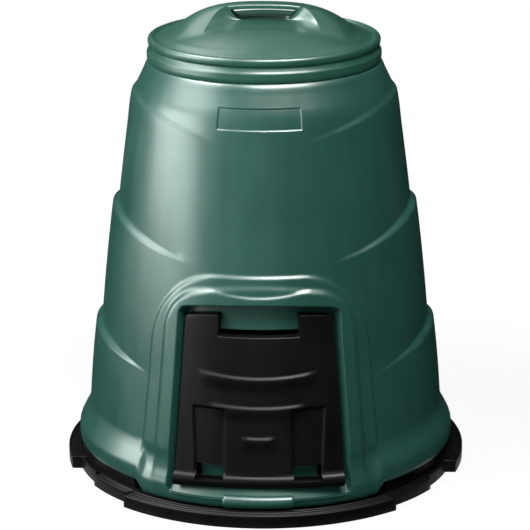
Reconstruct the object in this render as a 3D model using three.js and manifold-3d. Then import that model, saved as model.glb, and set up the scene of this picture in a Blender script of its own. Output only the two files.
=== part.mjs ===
// Compost bin with lid: a conical drum with a hatch at its foot, a lift-off lid and a base plate.
// Millimetres, +Z up, origin on the ground at the axis of the drum, hatch towards -Y.
// Shells are worked out on grids of stations round the axis, where angle 0 is the middle of the hatch
// and positive angles lie towards +X. Openings and bosses are then cut from and joined to the shells.
import * as THREE from 'three';
import { mergeVertices } from 'three/addons/utils/BufferGeometryUtils.js';
import Module from 'manifold-3d';

const { degToRad, smoothstep, clamp, lerp } = THREE.MathUtils;
const fullTurnAngle = 360;

// Fits shared by all pieces
const fit = {
  seatGap: 0.3, // between two faces that rest on each other
  overrun: 6, // how far a cut runs past the face that it opens
};

// Drum. Heights are above the seat of its foot
const drum = {
  wall: 4,
  coneFootRadius: 347,
  footSwell: 23,
  rollHeight: 76,
  flangeInset: 5,
  shoulderRadius: 250,
  shoulderHeight: 695,
  shoulderRise: 68,
  neckRadius: 212,
  neckRise: 30,
  crescentLedge: 13,
};
const footRadius = drum.coneFootRadius + drum.footSwell;
const neckBaseHeight = drum.shoulderHeight + drum.shoulderRise;
const neckTopHeight = neckBaseHeight + drum.neckRise;
const footRollShares = [
  // height as a share of rollHeight, swelling as a share of footSwell
  [0, 0.58], [0.06, 0.86], [0.18, 1], [0.36, 0.98], [0.55, 0.76], [0.77, 0.36], [1, 0],
];
const shoulderShares = [
  // height and radius on the way from the shoulder to the neck
  [0, 0], [0.18, 0.12], [0.36, 0.31], [0.84, 0.68], [0.92, 0.86], [1, 1],
];

// Base plate, a thin moulding that carries the drum. Its rim reaches past the foot of the drum
const plate = {
  wall: 3.6,
  sideReach: 25,
  frontReach: 30,
  notchReach: 12,
  rimHeight: 22,
  beadHeight: 2.4,
  beadWidth: 5,
  rimFootRise: 4,
  ringInset: 7,
  ringWidth: 25,
  ringHeight: 44.7,
  frontRingDrop: 19,
  floorThickness: 4,
  drainHoleRadius: 6,
  webThickness: 3,
};
const ringOuterRadius = footRadius - plate.ringInset;
const ringInnerRadius = ringOuterRadius - plate.ringWidth;
const seatHeight = plate.ringHeight + fit.seatGap;
const plateRimAngles = { frontHalf: 40, notchHalf: 72, stepWidth: 1.2 };
const drainRingShares = [0.355, 0.65, 0.888]; // of ringInnerRadius
const drainRingCounts = [6, 10, 14];
const webCount = 16;

// Crescent steps: each ledge is highest at the two sides and sinks towards front and back
const crescentSpacing = {
  neckToUpper: 53,
  upperToMiddle: 220,
  middleToLower: 238,
};
const upperCrescent = {
  sideHeight: neckBaseHeight - crescentSpacing.neckToUpper,
  drop: 66,
  proud: 4.5,
};
const middleCrescent = {
  sideHeight: upperCrescent.sideHeight - crescentSpacing.upperToMiddle,
  drop: 70,
  proud: 10.5,
};
const lowerCrescent = {
  sideHeight: middleCrescent.sideHeight - crescentSpacing.middleToLower,
  drop: 70,
  proud: 10.5,
};
const crescents = [upperCrescent, middleCrescent, lowerCrescent];
const crescentAngles = { fadeFrom: 24, fullFrom: 58 };
const crescentRisePower = 2.4;
const crescentDecayPower = 1.6;
const bandRowShares = [[0.5], [0.22, 0.44, 0.66, 0.8, 0.9, 0.955], [0.3, 0.6, 0.85]]; // from the lowest band up

// Recess and clear opening behind the hatch
const pocket = {
  topHeight: 360,
  archRise: 12,
  cornerRadius: 12,
  fingerGap: 9,
  sillEdgeDrop: 13.5,
  sillFlatReach: 2.5,
  shelfReach: 5.7,
  noseRadius: 13,
  noseInset: 9.4,
  noseDrop: 7.3,
};
const pocketAngles = { faceHalf: 28.1, draft: 0.9, jamb: 2.8, noseHalf: 10.4 };
const noseEndShare = 0.86;

// Raised surround of the hatch, a frame of two tiers that follows the cone
const surround = {
  crestHeight: 37,
  crestCornerRadius: 112,
  crestProud: 8,
  crestSlope: 13,
  bandHeight: 17,
  bandCornerRadius: 145,
  bandProud: 5,
  bandSlope: 7,
  dentDepth: 4,
  dentSag: 20,
  dentHalfLength: 104,
};
const crestTopHeight = pocket.topHeight + surround.crestHeight;
const bandTopHeight = crestTopHeight + surround.bandHeight;
const surroundAngles = { bandHalf: 40.2, crestHalf: 34.6, footBlend: 1.6, footClearance: 0.4 };
const surroundFootShares = [0.1, 0.13, 0.16, 0.22, 0.36, 0.68, 1];

// Shallow plate for a name, left bare
const namePanel = {
  depth: 2.2,
  shoulderDrop: 15,
  height: 41,
};
const namePanelLowHeight = drum.shoulderHeight - namePanel.shoulderDrop;
const namePanelAngles = { half: 18.2 };

// Hatch: a flanged panel on the same cone, with a rolled foot
const hatch = {
  thickness: 3.5,
  proud: 2,
  topClearance: 19,
  archRise: 10,
  cornerRadius: 9,
  edgeRound: 1.6,
  rollRadius: 12.5,
  rollReach: 2.5,
  rollCentreHeight: 28,
  rollClearance: 0.5,
  notchDepth: 43,
  channelDepth: 5,
  channelTopHeight: 167,
  channelTopSlope: 7,
  windowRise: 2,
  windowHeight: 26,
  ribProud: 4,
  ribLedge: 5,
  ribFade: 34,
};
const hatchAngles = {
  clearance: 0.6, notchHalf: 13.6, channelInner: 10.2, channelOuter: 20.2, channelSlope: 0.9, windowInset: 0.4,
};
const upperRib = {
  midHeight: 226,
  endRise: 11,
};
const middleRib = {
  midHeight: 171,
  endRise: 5,
};
const lowerRib = {
  midHeight: 114,
  endRise: 2,
};
const hatchRibs = [upperRib, middleRib, lowerRib];
const hatchRibAngles = [20, 15.7, 5]; // half of each rib's length, from the top rib down

// Two tabs of the drum that stand behind the rolled foot of the hatch and show in its windows
const tab = {
  thickness: 6,
  clearance: 1.3,
  topDrop: 4,
};
const tabAngles = { inset: 0.7 };

// Lid. Heights are above the top of the neck, which carries it
const lid = {
  wall: 3.5,
  skirtReach: 12,
  skirtOverhang: 6,
  rimInset: 5,
  grooveWidth: 25,
  domeEdgeHeight: 14,
  domeHeight: 42,
  humpHeight: 29,
  humpHalfLength: 190,
  humpHalfWidth: 96,
  scoopHalfLength: 62,
  scoopSpread: 56,
  scoopSink: 1.2,
  barHalfWidth: 18,
  barThickness: 12,
  wellDepth: 9,
  wellReach: 12,
};
const grooveRadius = drum.neckRadius - lid.rimInset;
const domeRadius = grooveRadius - lid.grooveWidth;
const lidRadius = drum.neckRadius + lid.skirtReach;
const skirtDepth = drum.neckRise + lid.skirtOverhang;
const rimShares = [
  // share of the way from the groove to the outer radius, then height as a share of skirtDepth
  [0.12, 0.13], [0.4, 0.235], [0.7, 0.2], [0.88, 0.05], [0.84, -0.12], [0.68, -0.25],
  [0.8, -0.4], [1, -0.58], [1, -0.8], [0.92, -1],
];
const domeRingShares = [0, 0.2, 0.38, 0.54, 0.68, 0.82, 0.93];
const scoopShares = [0, 0.06, 0.16, 0.32, 0.55, 0.8, 1]; // stations from the bar to the end of a scoop
const wellEdgeShares = [0.3, 0.6, 0.85, 0.97]; // stations across half of the well
const domePower = 2.4;
const scoopPower = 0.75;

// Screws that hold the plate to the foot of the drum
const screw = {
  headRadius: 5.5,
  headHeight: 3.2,
  shankRadius: 2.3,
  shankClearance: 0.4,
  length: 20,
  bossRadius: 7.5,
  bossHeight: 18,
};
const screwAngles = [-58, 58, -140, 140];

// Angles of the stations that each shell is worked out on
const drumFrontAngles = [6, 12, 18, 23.5, 28.1, 31.4, 34.6, 37.2, 40.2, 42.2];
const drumPlainStep = 9;
const plateFrontAngles = [10, 20, 30];
const plateBackAngles = [52, 62, 84, 96, 108, 120, 132, 144, 156, 168];
const hatchRollTurns = [-198, -172, -144, -116, -88, -60, -34, -8, 16, 38, 64];
const lidColumnCount = 48;

// Mating places that follow from the pieces above
const rollCentreRadius = drum.coneFootRadius + hatch.rollReach;
const rollBackRadius = rollCentreRadius - hatch.rollRadius;
const flangeDepth = coneRadius(hatch.rollCentreHeight) + hatch.proud - rollBackRadius + hatch.rollClearance;
const rebateDepth = flangeDepth - hatch.proud + fit.seatGap;
const troughHeight = hatch.rollCentreHeight - hatch.rollRadius - fit.seatGap;
const sillFlatRadius = rollCentreRadius + pocket.sillFlatReach;
const sillSlope = pocket.sillEdgeDrop / (footRadius - sillFlatRadius);
const tabFrontRadius = rollBackRadius - tab.clearance;
const tabBackRadius = tabFrontRadius - tab.thickness;
const hatchTopHeight = pocket.topHeight - hatch.topClearance;
const notchFloorHeight = hatchTopHeight - hatch.notchDepth;
const openingTopHeight = notchFloorHeight + pocket.fingerGap;
const windowLowHeight = hatch.rollCentreHeight + hatch.windowRise;
const windowTopHeight = windowLowHeight + hatch.windowHeight;
const backHalf = pocketAngles.faceHalf - pocketAngles.draft;
const openingHalf = backHalf - pocketAngles.jamb;
const hatchHalf = backHalf - hatchAngles.clearance;
const windowInner = hatchAngles.channelInner + hatchAngles.windowInset;
const windowOuter = hatchAngles.channelOuter - hatchAngles.windowInset * 2;
const midRadius = coneRadius((troughHeight + bandTopHeight) / 2);
const screwCircleRadius = (ringInnerRadius + ringOuterRadius) / 2;

const wasm = await Module();
wasm.setup();

/** Point at an angle in degrees from the middle of the hatch, at a radius and a height. */
function polar(angle, radius, height) {
  const turn = degToRad(angle);
  return new THREE.Vector3(radius * Math.sin(turn), -radius * Math.cos(turn), height);
}

/** Closed body between two grids of points, each a list of columns of rows. */
function bodyBetween(front, back, wraps = false) {
  const columns = front.length;
  const rows = front[0].length;
  const positions = [front, back].flat(2).flatMap((point) => point.toArray());
  const index = [];
  const at = (side, column, row) => (side * columns + (column % columns)) * rows + row;
  const quad = (a, b, c, d) => index.push(a, b, c, a, c, d);
  const spans = wraps ? columns : columns - 1;
  for (let c = 0; c < spans; c += 1) {
    for (let r = 0; r < rows - 1; r += 1) {
      quad(at(0, c, r), at(0, c + 1, r), at(0, c + 1, r + 1), at(0, c, r + 1));
      quad(at(1, c, r + 1), at(1, c + 1, r + 1), at(1, c + 1, r), at(1, c, r));
    }
    quad(at(1, c, 0), at(1, c + 1, 0), at(0, c + 1, 0), at(0, c, 0));
    quad(at(0, c, rows - 1), at(0, c + 1, rows - 1), at(1, c + 1, rows - 1), at(1, c, rows - 1));
  }
  for (let r = 0; r < rows - 1 && !wraps; r += 1) {
    quad(at(0, 0, r), at(0, 0, r + 1), at(1, 0, r + 1), at(1, 0, r));
    quad(at(0, spans, r + 1), at(0, spans, r), at(1, spans, r), at(1, spans, r + 1));
  }
  const geometry = new THREE.BufferGeometry();
  geometry.setAttribute('position', new THREE.Float32BufferAttribute(positions, 3));
  geometry.setIndex(index);
  return geometry;
}

/** Solid of a closed geometry, with its shared vertices merged and its collapsed triangles dropped. */
function solid(geometry) {
  geometry.deleteAttribute('normal');
  geometry.deleteAttribute('uv');
  const merged = mergeVertices(geometry);
  const corners = merged.index.array;
  const triVerts = [];
  for (let i = 0; i < corners.length; i += 3) {
    const [a, b, c] = corners.slice(i, i + 3);
    if (a !== b && b !== c && c !== a) triVerts.push(a, b, c);
  }
  return new wasm.Manifold(new wasm.Mesh({
    numProp: 3,
    vertProperties: Float32Array.from(merged.attributes.position.array),
    triVerts: Uint32Array.from(triVerts),
  }));
}

/** Named mesh of a solid. */
function meshOf(body, name, material) {
  const { vertProperties, triVerts } = body.getMesh();
  const geometry = new THREE.BufferGeometry();
  geometry.setAttribute('position', new THREE.BufferAttribute(vertProperties, 3));
  geometry.setIndex(new THREE.BufferAttribute(triVerts, 1));
  geometry.computeVertexNormals();
  const mesh = new THREE.Mesh(geometry, material);
  mesh.name = name;
  return mesh;
}

/** Grid of points, one column for each angle and one row for each entry of rows. */
const grid = (angles, rows, point) => angles.map((angle, c) => rows.map((row, r) => point(angle, row, c, r)));

/** Numbers from first to last in equal steps. */
const steps = (first, last, count) => Array.from({ length: count + 1 }, (_, i) => lerp(first, last, i / count));

/** Places mirrored about the middle, the middle included. */
const mirrored = (places) => [...places.map((place) => -place).reverse(), 0, ...places];

/** Angle from the middle of the hatch, counted from either side. */
const turnFrom = (angle) => Math.min(Math.abs(angle), fullTurnAngle - Math.abs(angle));

/** Radius and height points moved inwards by a wall thickness, square to the profile that they form. */
function offsetProfile(profile, wall) {
  return profile.map(([radius, height], i) => {
    const [r0, h0] = profile[Math.max(i - 1, 0)];
    const [r1, h1] = profile[Math.min(i + 1, profile.length - 1)];
    const length = Math.hypot(r1 - r0, h1 - h0);
    return [radius - (wall * (h1 - h0)) / length, height + (wall * (r1 - r0)) / length];
  });
}

/** Radius of the plain cone of the drum. */
function coneRadius(height) {
  const share = (height - drum.rollHeight) / (drum.shoulderHeight - drum.rollHeight);
  return lerp(drum.coneFootRadius, drum.shoulderRadius, share);
}

/** How far the crescents and the rows between them have climbed from front or back to the side. */
const sideRise = (angle) => Math.abs(Math.sin(degToRad(angle))) ** crescentRisePower;

/** Height of a crescent's ledge at an angle. */
const ledgeHeight = (crescent, angle) => crescent.sideHeight - crescent.drop * (1 - sideRise(angle));

/** Swelling of the drum below its crescent ledges, full under each ledge and gone at the next one. */
function crescentSwelling(angle, height) {
  const { fadeFrom, fullFrom } = crescentAngles;
  const turn = Math.abs(Math.sin(degToRad(angle)));
  const atSide = smoothstep(turn, Math.sin(degToRad(fadeFrom)), Math.sin(degToRad(fullFrom)));
  let swelling = 0;
  crescents.forEach((crescent, i) => {
    const top = ledgeHeight(crescent, angle);
    const bottom = i + 1 < crescents.length ? ledgeHeight(crescents[i + 1], angle) : drum.rollHeight;
    const down = (top - height) / (top - bottom);
    const step = smoothstep(top - height, 0, drum.crescentLedge);
    if (down > 0 && down < 1) swelling += crescent.proud * step * (1 - down ** crescentDecayPower);
  });
  return swelling * atSide;
}

/** Depth of a point inside a round-cornered arch on the unrolled cone, negative outside it. */
function archDepth(angle, height, halfAngle, topHeight, cornerRadius) {
  const across = degToRad(halfAngle - Math.abs(angle)) * midRadius;
  const down = topHeight - height;
  if (across > cornerRadius || down > cornerRadius) return Math.min(across, down);
  return cornerRadius - Math.hypot(cornerRadius - across, cornerRadius - down);
}

/** Height of the surround above the cone, with the shallow dent in the middle of its arch. */
function surroundSwelling(angle, height) {
  const { bandHalf, crestHalf } = surroundAngles;
  const band = archDepth(angle, height, bandHalf, bandTopHeight, surround.bandCornerRadius);
  const crest = archDepth(angle, height, crestHalf, crestTopHeight, surround.crestCornerRadius);
  const along = (degToRad(angle) * midRadius) / surround.dentHalfLength;
  const down = crestTopHeight - height;
  const dent = smoothstep(surround.dentSag * (1 - along ** 2), down, down + surround.bandSlope);
  return surround.bandProud * smoothstep(band, 0, surround.bandSlope)
    + (surround.crestProud - surround.dentDepth * dent) * smoothstep(crest, 0, surround.crestSlope);
}

/** Radius of the drum without its reliefs, cone and shoulder together. */
function bodyRadius(height) {
  const up = (height - drum.shoulderHeight) / drum.shoulderRise;
  const next = shoulderShares.findIndex(([upShare]) => upShare >= up);
  if (next < 1) return coneRadius(height);
  const [[up0, in0], [up1, in1]] = shoulderShares.slice(next - 1, next + 1);
  return lerp(drum.shoulderRadius, drum.neckRadius, lerp(in0, in1, (up - up0) / (up1 - up0)));
}

/** Outer profile of the drum at an angle, from the inner edge of its foot to the top of its neck. */
function drumProfile(angle) {
  const { bandHalf, footBlend } = surroundAngles;
  const footDrop = plate.frontRingDrop * (1 - smoothstep(Math.abs(angle), bandHalf - footBlend, bandHalf));
  const frame = surroundSwelling(angle, drum.rollHeight);
  const foot = footRollShares.map(([heightShare, swellShare], i) => [
    drum.coneFootRadius + drum.footSwell * swellShare + frame * surroundFootShares[i],
    drum.rollHeight * heightShare - footDrop,
  ]);
  const flangeRadius = ringInnerRadius + drum.flangeInset;
  const flange = [0, 0.5].map((share) => [lerp(flangeRadius, foot[0][0], share), -footDrop]);
  const heights = [];
  [...crescents].reverse().forEach((crescent, i) => {
    const ledge = ledgeHeight(crescent, angle);
    const below = heights.length ? heights.at(-1) : drum.rollHeight - footDrop;
    const low = ledge - drum.crescentLedge;
    heights.push(...bandRowShares[i].map((share) => lerp(below, low, share)), low, ledge);
  });
  const shoulderStart = Math.max(drum.shoulderHeight, heights.at(-1) + drum.crescentLedge / 2);
  heights.push(...shoulderShares.map(([share]) => lerp(shoulderStart, neckBaseHeight, share)));
  const wall = heights.map((height) => [
    bodyRadius(height) + crescentSwelling(angle, height) + surroundSwelling(angle, height), height,
  ]);
  return [...flange, ...foot, ...wall, [drum.neckRadius, neckTopHeight]];
}

/** Block that follows the cone: its edges are angles, its faces lie at depths outside the cone. */
function coneBlock(angles, low, high, backDepth, frontDepth, rowCount = 1, backShare = 1) {
  const rows = steps(0, 1, rowCount);
  const face = (depth, share) => grid(angles, rows, (angle, row) => {
    const height = lerp(low(angle), high(angle), row);
    return polar(angle * share, coneRadius(height) + depth, height);
  });
  return solid(bodyBetween(face(frontDepth, 1), face(backDepth, backShare)));
}

/** Angles across a recess of a half angle, closer together at its corners. */
function recessAngles(half, cornerAngle) {
  const inner = steps(0, half - cornerAngle, 7).slice(1);
  return mirrored([...inner, half - cornerAngle * 0.5, half - cornerAngle * 0.15, half]);
}

/** Fall of an arched edge at an angle, with a rounded corner where it meets its side. */
function archFall(angle, half, rise, cornerRadius, cornerAngle) {
  const intoCorner = clamp((Math.abs(angle) - half + cornerAngle) / cornerAngle, 0, 1);
  return rise * (angle / half) ** 2 + cornerRadius * (1 - Math.sqrt(1 - intoCorner ** 2));
}

/** Angle that a length spans on the drum at the middle of the hatch. */
const angleOf = (length) => (length / midRadius) * THREE.MathUtils.RAD2DEG;

/** Shell of the drum: foot roll, crescents, surround, shoulder and neck. */
function drumShell() {
  const last = drumFrontAngles.at(-1);
  const plainCount = Math.round((fullTurnAngle - 2 * last) / drumPlainStep);
  const plain = steps(last, fullTurnAngle - last, plainCount).slice(1, -1);
  const angles = [...mirrored(drumFrontAngles), ...plain];
  const outer = angles.map((angle) => drumProfile(angle));
  const inner = outer.map((profile) => offsetProfile(profile, drum.wall));
  const points = (profiles) => profiles.map((profile, c) => profile.map(([r, h]) => polar(angles[c], r, h)));
  return solid(bodyBetween(points(outer), points(inner), true));
}

/** Recess of the hatch as a solid to cut away, and the lining that carries it inside the drum. */
function hatchRecess() {
  const { faceHalf } = pocketAngles;
  const cornerAngle = angleOf(pocket.cornerRadius);
  const angles = recessAngles(faceHalf, cornerAngle);
  const top = (angle) => pocket.topHeight
    - archFall(angle, faceHalf, pocket.archRise, pocket.cornerRadius, cornerAngle);
  const bottom = () => troughHeight;
  const face = surround.bandProud + surround.crestProud;
  const recess = coneBlock(angles, bottom, top, -rebateDepth, face + fit.overrun, 4, backHalf / faceHalf);
  const grown = (faceHalf + angleOf(drum.wall)) / faceHalf;
  const liningAngles = angles.map((angle) => angle * grown);
  const lining = coneBlock(
    liningAngles,
    () => troughHeight - drum.wall,
    (angle) => top(angle / grown) + drum.wall,
    -rebateDepth - drum.wall,
    face - drum.wall / 2,
    4,
  );
  const opening = coneBlock(
    mirrored(steps(0, openingHalf, 6).slice(1)),
    bottom,
    () => openingTopHeight,
    -rebateDepth - drum.wall - fit.overrun,
    0,
    3,
  );
  return { recess, lining, opening };
}

/** Block round the axis between two radii and two heights that may differ from front to back. */
function arcBlock(angles, frontRadii, frontHeights, backRadii, backHeights) {
  const front = grid(angles, frontRadii, (angle, radius, c, r) => polar(angle, radius, frontHeights[r]));
  const back = grid(angles, backRadii, (angle, radius, c, r) => polar(angle, radius, backHeights[r]));
  return solid(bodyBetween(front, back));
}

/** Bevel of the sill from the trough to its front edge: the space above it and the slab below it. */
function sillBevel() {
  const angles = mirrored(steps(0, pocketAngles.faceHalf, 8).slice(1));
  const heightAt = (radius) => troughHeight - sillSlope * (radius - sillFlatRadius);
  const outRadius = footRadius + surround.crestProud;
  const above = troughHeight + fit.overrun / 2;
  const space = arcBlock(angles, [outRadius, outRadius], [heightAt(outRadius), above],
    [sillFlatRadius, sillFlatRadius], [troughHeight, above]);
  const slabFront = footRadius - drum.wall / 2;
  const slabBack = sillFlatRadius - drum.wall;
  const slab = arcBlock(angles, [slabFront, slabFront], [heightAt(slabFront) - drum.wall * 1.5, troughHeight],
    [slabBack, slabBack], [troughHeight - drum.wall, troughHeight]);
  return { space, slab };
}

/** Rounded nose in the middle of the sill, with tapered ends. */
function sillNose() {
  const half = pocketAngles.noseHalf;
  const angles = mirrored([half * 0.45, half * 0.8, half * 0.95, half]);
  const turns = steps(-90, 90, 8);
  const centreRadius = footRadius - pocket.noseInset;
  const centreHeight = troughHeight - pocket.sillEdgeDrop - pocket.noseDrop;
  const section = (side) => grid(angles, turns, (angle, turn) => {
    const radius = pocket.noseRadius * (Math.abs(angle) < half ? 1 : noseEndShare);
    const out = side * radius * Math.cos(degToRad(turn));
    return polar(angle, centreRadius + out, centreHeight + radius * Math.sin(degToRad(turn)));
  });
  return solid(bodyBetween(section(1), section(-1)));
}

/** Shelf behind the sill and the two tabs that stand on it. */
function hatchTabs() {
  const low = troughHeight - drum.wall;
  const high = windowTopHeight - tab.topDrop;
  const shelfBack = tabBackRadius - pocket.shelfReach;
  const shelf = arcBlock(mirrored(steps(0, openingHalf, 6).slice(1)), [sillFlatRadius, sillFlatRadius],
    [low, troughHeight], [shelfBack, shelfBack], [low, troughHeight]);
  const inner = windowInner + tabAngles.inset / 2;
  const outer = windowOuter - tabAngles.inset;
  const tabs = [[-outer, -inner], [inner, outer]].map(([first, last]) => arcBlock(steps(first, last, 3),
    [tabFrontRadius, tabFrontRadius], [low, high], [tabBackRadius, tabBackRadius], [low, high]));
  return [shelf, ...tabs];
}

/** Upright cylinder as a solid. */
function post(angle, circleRadius, radius, low, high, segments) {
  const geometry = new THREE.CylinderGeometry(radius, radius, high - low, segments);
  geometry.rotateX(Math.PI / 2);
  const centre = polar(angle, circleRadius, (low + high) / 2);
  geometry.translate(centre.x, centre.y, centre.z);
  return solid(geometry);
}

/** Drum as one moulding. */
function makeDrum() {
  const { recess, lining, opening } = hatchRecess();
  const bosses = screwAngles.map((angle) => post(angle, screwCircleRadius, screw.bossRadius,
    0, screw.bossHeight, 12));
  const pilots = screwAngles.map((angle) => post(angle, screwCircleRadius, screw.shankRadius + fit.seatGap,
    -fit.overrun, screw.bossHeight - drum.wall / 2, 10));
  const { half } = namePanelAngles;
  const panelAngles = mirrored(steps(0, half, 4).slice(1));
  const panel = coneBlock(panelAngles, () => namePanelLowHeight, () => namePanelLowHeight + namePanel.height,
    -namePanel.depth, fit.overrun, 2);
  const { space, slab } = sillBevel();
  const walls = [drumShell(), lining, slab, ...bosses].reduce((sum, piece) => sum.add(piece));
  const cuts = [recess, opening, space, panel, ...pilots];
  const shell = cuts.reduce((sum, cut) => sum.subtract(cut), walls);
  return [sillNose(), ...hatchTabs()].reduce((sum, piece) => sum.add(piece), shell);
}

/** Depth of the hatch surface below its plain cone, from its two channels. */
function channelSink(angle, height) {
  const { channelInner, channelOuter, channelSlope } = hatchAngles;
  const turn = Math.abs(angle);
  const sides = smoothstep(turn, channelInner, channelInner + channelSlope)
    * (1 - smoothstep(turn, channelOuter - channelSlope, channelOuter));
  return hatch.channelDepth * sides * (1 - smoothstep(height, hatch.channelTopHeight - hatch.channelTopSlope,
    hatch.channelTopHeight));
}

/** Height of a rib's line at an angle, level beyond the ends of the rib. */
const ribHeight = (i, angle) => (
  hatchRibs[i].midHeight + hatchRibs[i].endRise * Math.min((angle / hatchRibAngles[i]) ** 2, 1));

/** Height of the smile-shaped ribs above the hatch surface. */
function ribSwelling(angle, height) {
  return hatchRibAngles.reduce((sum, halfAngle, i) => {
    const below = ribHeight(i, angle) - height;
    const along = 1 - smoothstep(Math.abs(angle), halfAngle * 0.7, halfAngle);
    const step = smoothstep(below, 0, hatch.ribLedge) * (1 - smoothstep(below, hatch.ribLedge, hatch.ribFade));
    return sum + hatch.ribProud * along * step;
  }, 0);
}

/** Heights of the panel rows of the hatch at an angle, from the window line up to the top flange. */
function hatchPanelHeights(angle) {
  const [upper, middle, lower] = hatchRibAngles.map((_, i) => ribHeight(i, angle));
  return [
    windowTopHeight,
    lerp(windowTopHeight, lower, 0.5),
    lower - hatch.ribLedge,
    lower,
    lerp(lower, middle, 0.45),
    hatch.channelTopHeight - hatch.channelTopSlope,
    middle - hatch.ribLedge,
    middle,
    lerp(middle, upper, 0.45),
    upper - hatch.ribLedge,
    upper,
    notchFloorHeight - hatch.thickness,
    lerp(notchFloorHeight, hatchTopHeight, 0.5),
  ];
}

/** Top edge of the hatch at an angle. */
function hatchTop(angle) {
  const cornerAngle = angleOf(hatch.cornerRadius);
  return hatchTopHeight - archFall(angle, hatchHalf, hatch.archRise, hatch.cornerRadius, cornerAngle);
}

/** Profile of the hatch at an angle, as radius and height, on its outer or its inner face. */
function hatchProfile(angle, sunk, inside) {
  const skin = inside ? hatch.thickness : 0;
  const roll = hatchRollTurns.map((turn) => [
    rollCentreRadius + (hatch.rollRadius - skin) * Math.cos(degToRad(turn)),
    hatch.rollCentreHeight + (hatch.rollRadius - skin) * Math.sin(degToRad(turn)),
  ]);
  const surface = (height, depth) => {
    const taper = smoothstep(height, hatch.rollCentreHeight + hatch.rollRadius, windowTopHeight);
    const down = Math.max(depth, sunk * taper, skin);
    const form = ribSwelling(angle, height) - channelSink(angle, height);
    return [coneRadius(height) + hatch.proud + form - down, height];
  };
  const top = hatchTop(angle) - skin;
  const panel = hatchPanelHeights(angle).map((height) => surface(Math.min(height, top - hatch.edgeRound), 0));
  const round = inside ? 0 : hatch.edgeRound;
  const edge = [surface(top - round, 0), surface(top, round), surface(top, flangeDepth)];
  return [...roll, ...panel, ...edge];
}

/** Sheet of the hatch: panel, flanges on three sides and the rolled foot. */
function hatchSheet() {
  const { notchHalf, channelInner, channelOuter, channelSlope } = hatchAngles;
  const half = hatchHalf;
  const round = angleOf(hatch.edgeRound);
  const cornerAngle = angleOf(hatch.cornerRadius);
  const flat = [
    notchHalf / 3, (notchHalf * 2) / 3, channelInner, channelInner + channelSlope, notchHalf,
    lerp(notchHalf, channelOuter, 0.5), channelOuter - channelSlope, channelOuter, half - cornerAngle,
    half - cornerAngle / 2, half - round,
  ];
  const right = [...flat.map((angle) => [angle, 0]), [half, hatch.edgeRound], [half, flangeDepth]];
  const left = right.map(([angle, sunk]) => [-angle, sunk]).reverse();
  const limit = half - angleOf(hatch.thickness);
  const face = (inside) => [...left, [0, 0], ...right].map(([edgeAngle, sunk]) => {
    const angle = inside ? clamp(edgeAngle, -limit, limit) : edgeAngle;
    return hatchProfile(angle, sunk, inside).map(([radius, height]) => polar(angle, radius, height));
  });
  return solid(bodyBetween(face(false), face(true)));
}

/** Hatch: flanged sheet with a finger notch and two windows above its rolled foot. */
function makeHatch() {
  const { notchHalf } = hatchAngles;
  const across = (half) => mirrored(steps(0, half, 3).slice(1));
  const notch = coneBlock(
    across(notchHalf),
    () => notchFloorHeight,
    () => hatchTopHeight + fit.overrun,
    -flangeDepth - fit.overrun,
    hatch.proud + fit.overrun,
    2,
  );
  const frame = coneBlock(
    across(notchHalf + angleOf(hatch.thickness)),
    () => notchFloorHeight - hatch.thickness,
    (angle) => hatchTop(angle) - hatch.thickness / 2,
    hatch.proud - flangeDepth,
    hatch.proud - hatch.thickness / 2,
    2,
  );
  const windows = [[-windowOuter, -windowInner], [windowInner, windowOuter]].map(([first, last]) => coneBlock(
    steps(first, last, 2),
    () => windowLowHeight,
    () => windowTopHeight,
    -flangeDepth - fit.overrun,
    hatch.rollRadius + fit.overrun,
  ));
  return [notch, ...windows].reduce((sum, cut) => sum.subtract(cut), hatchSheet().add(frame));
}

/** Outer radius of the base plate at an angle: proud at the hatch, notched beside it. */
function rimRadius(angle) {
  const turn = turnFrom(angle);
  const { frontHalf, notchHalf, stepWidth } = plateRimAngles;
  const front = lerp(plate.frontReach, plate.notchReach, smoothstep(turn, frontHalf, frontHalf + stepWidth));
  return footRadius + lerp(front, plate.sideReach, smoothstep(turn, notchHalf, notchHalf + stepWidth));
}

/** Height of the ring that carries the drum, lower where the surround of the hatch comes down. */
function ringTop(angle) {
  const { bandHalf, footBlend, footClearance } = surroundAngles;
  const lowered = 1 - smoothstep(turnFrom(angle), bandHalf + footClearance, bandHalf + footBlend);
  return plate.ringHeight - plate.frontRingDrop * lowered;
}

/** Upper or under side of the base plate at an angle, from the rim to the axis. */
function plateProfile(angle, under) {
  const skin = under ? plate.wall : 0;
  const rim = rimRadius(angle) - skin;
  const { rimHeight, beadHeight, beadWidth } = plate;
  const ringOuter = ringOuterRadius - skin;
  const ringInner = ringInnerRadius + skin;
  const top = ringTop(angle) - skin;
  const floor = under ? 0 : plate.floorThickness;
  const level = rimHeight - skin;
  return [
    [rim, 0],
    [rim, level],
    [rim - beadHeight / 2, level + beadHeight],
    [rim - beadWidth + beadHeight, level + beadHeight],
    [rim - beadWidth, level],
    [ringOuter, level],
    [ringOuter, top],
    [ringInner, top],
    [ringInner - beadHeight, floor],
    [ringInner / 2, floor],
    [0, floor],
  ];
}

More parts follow.
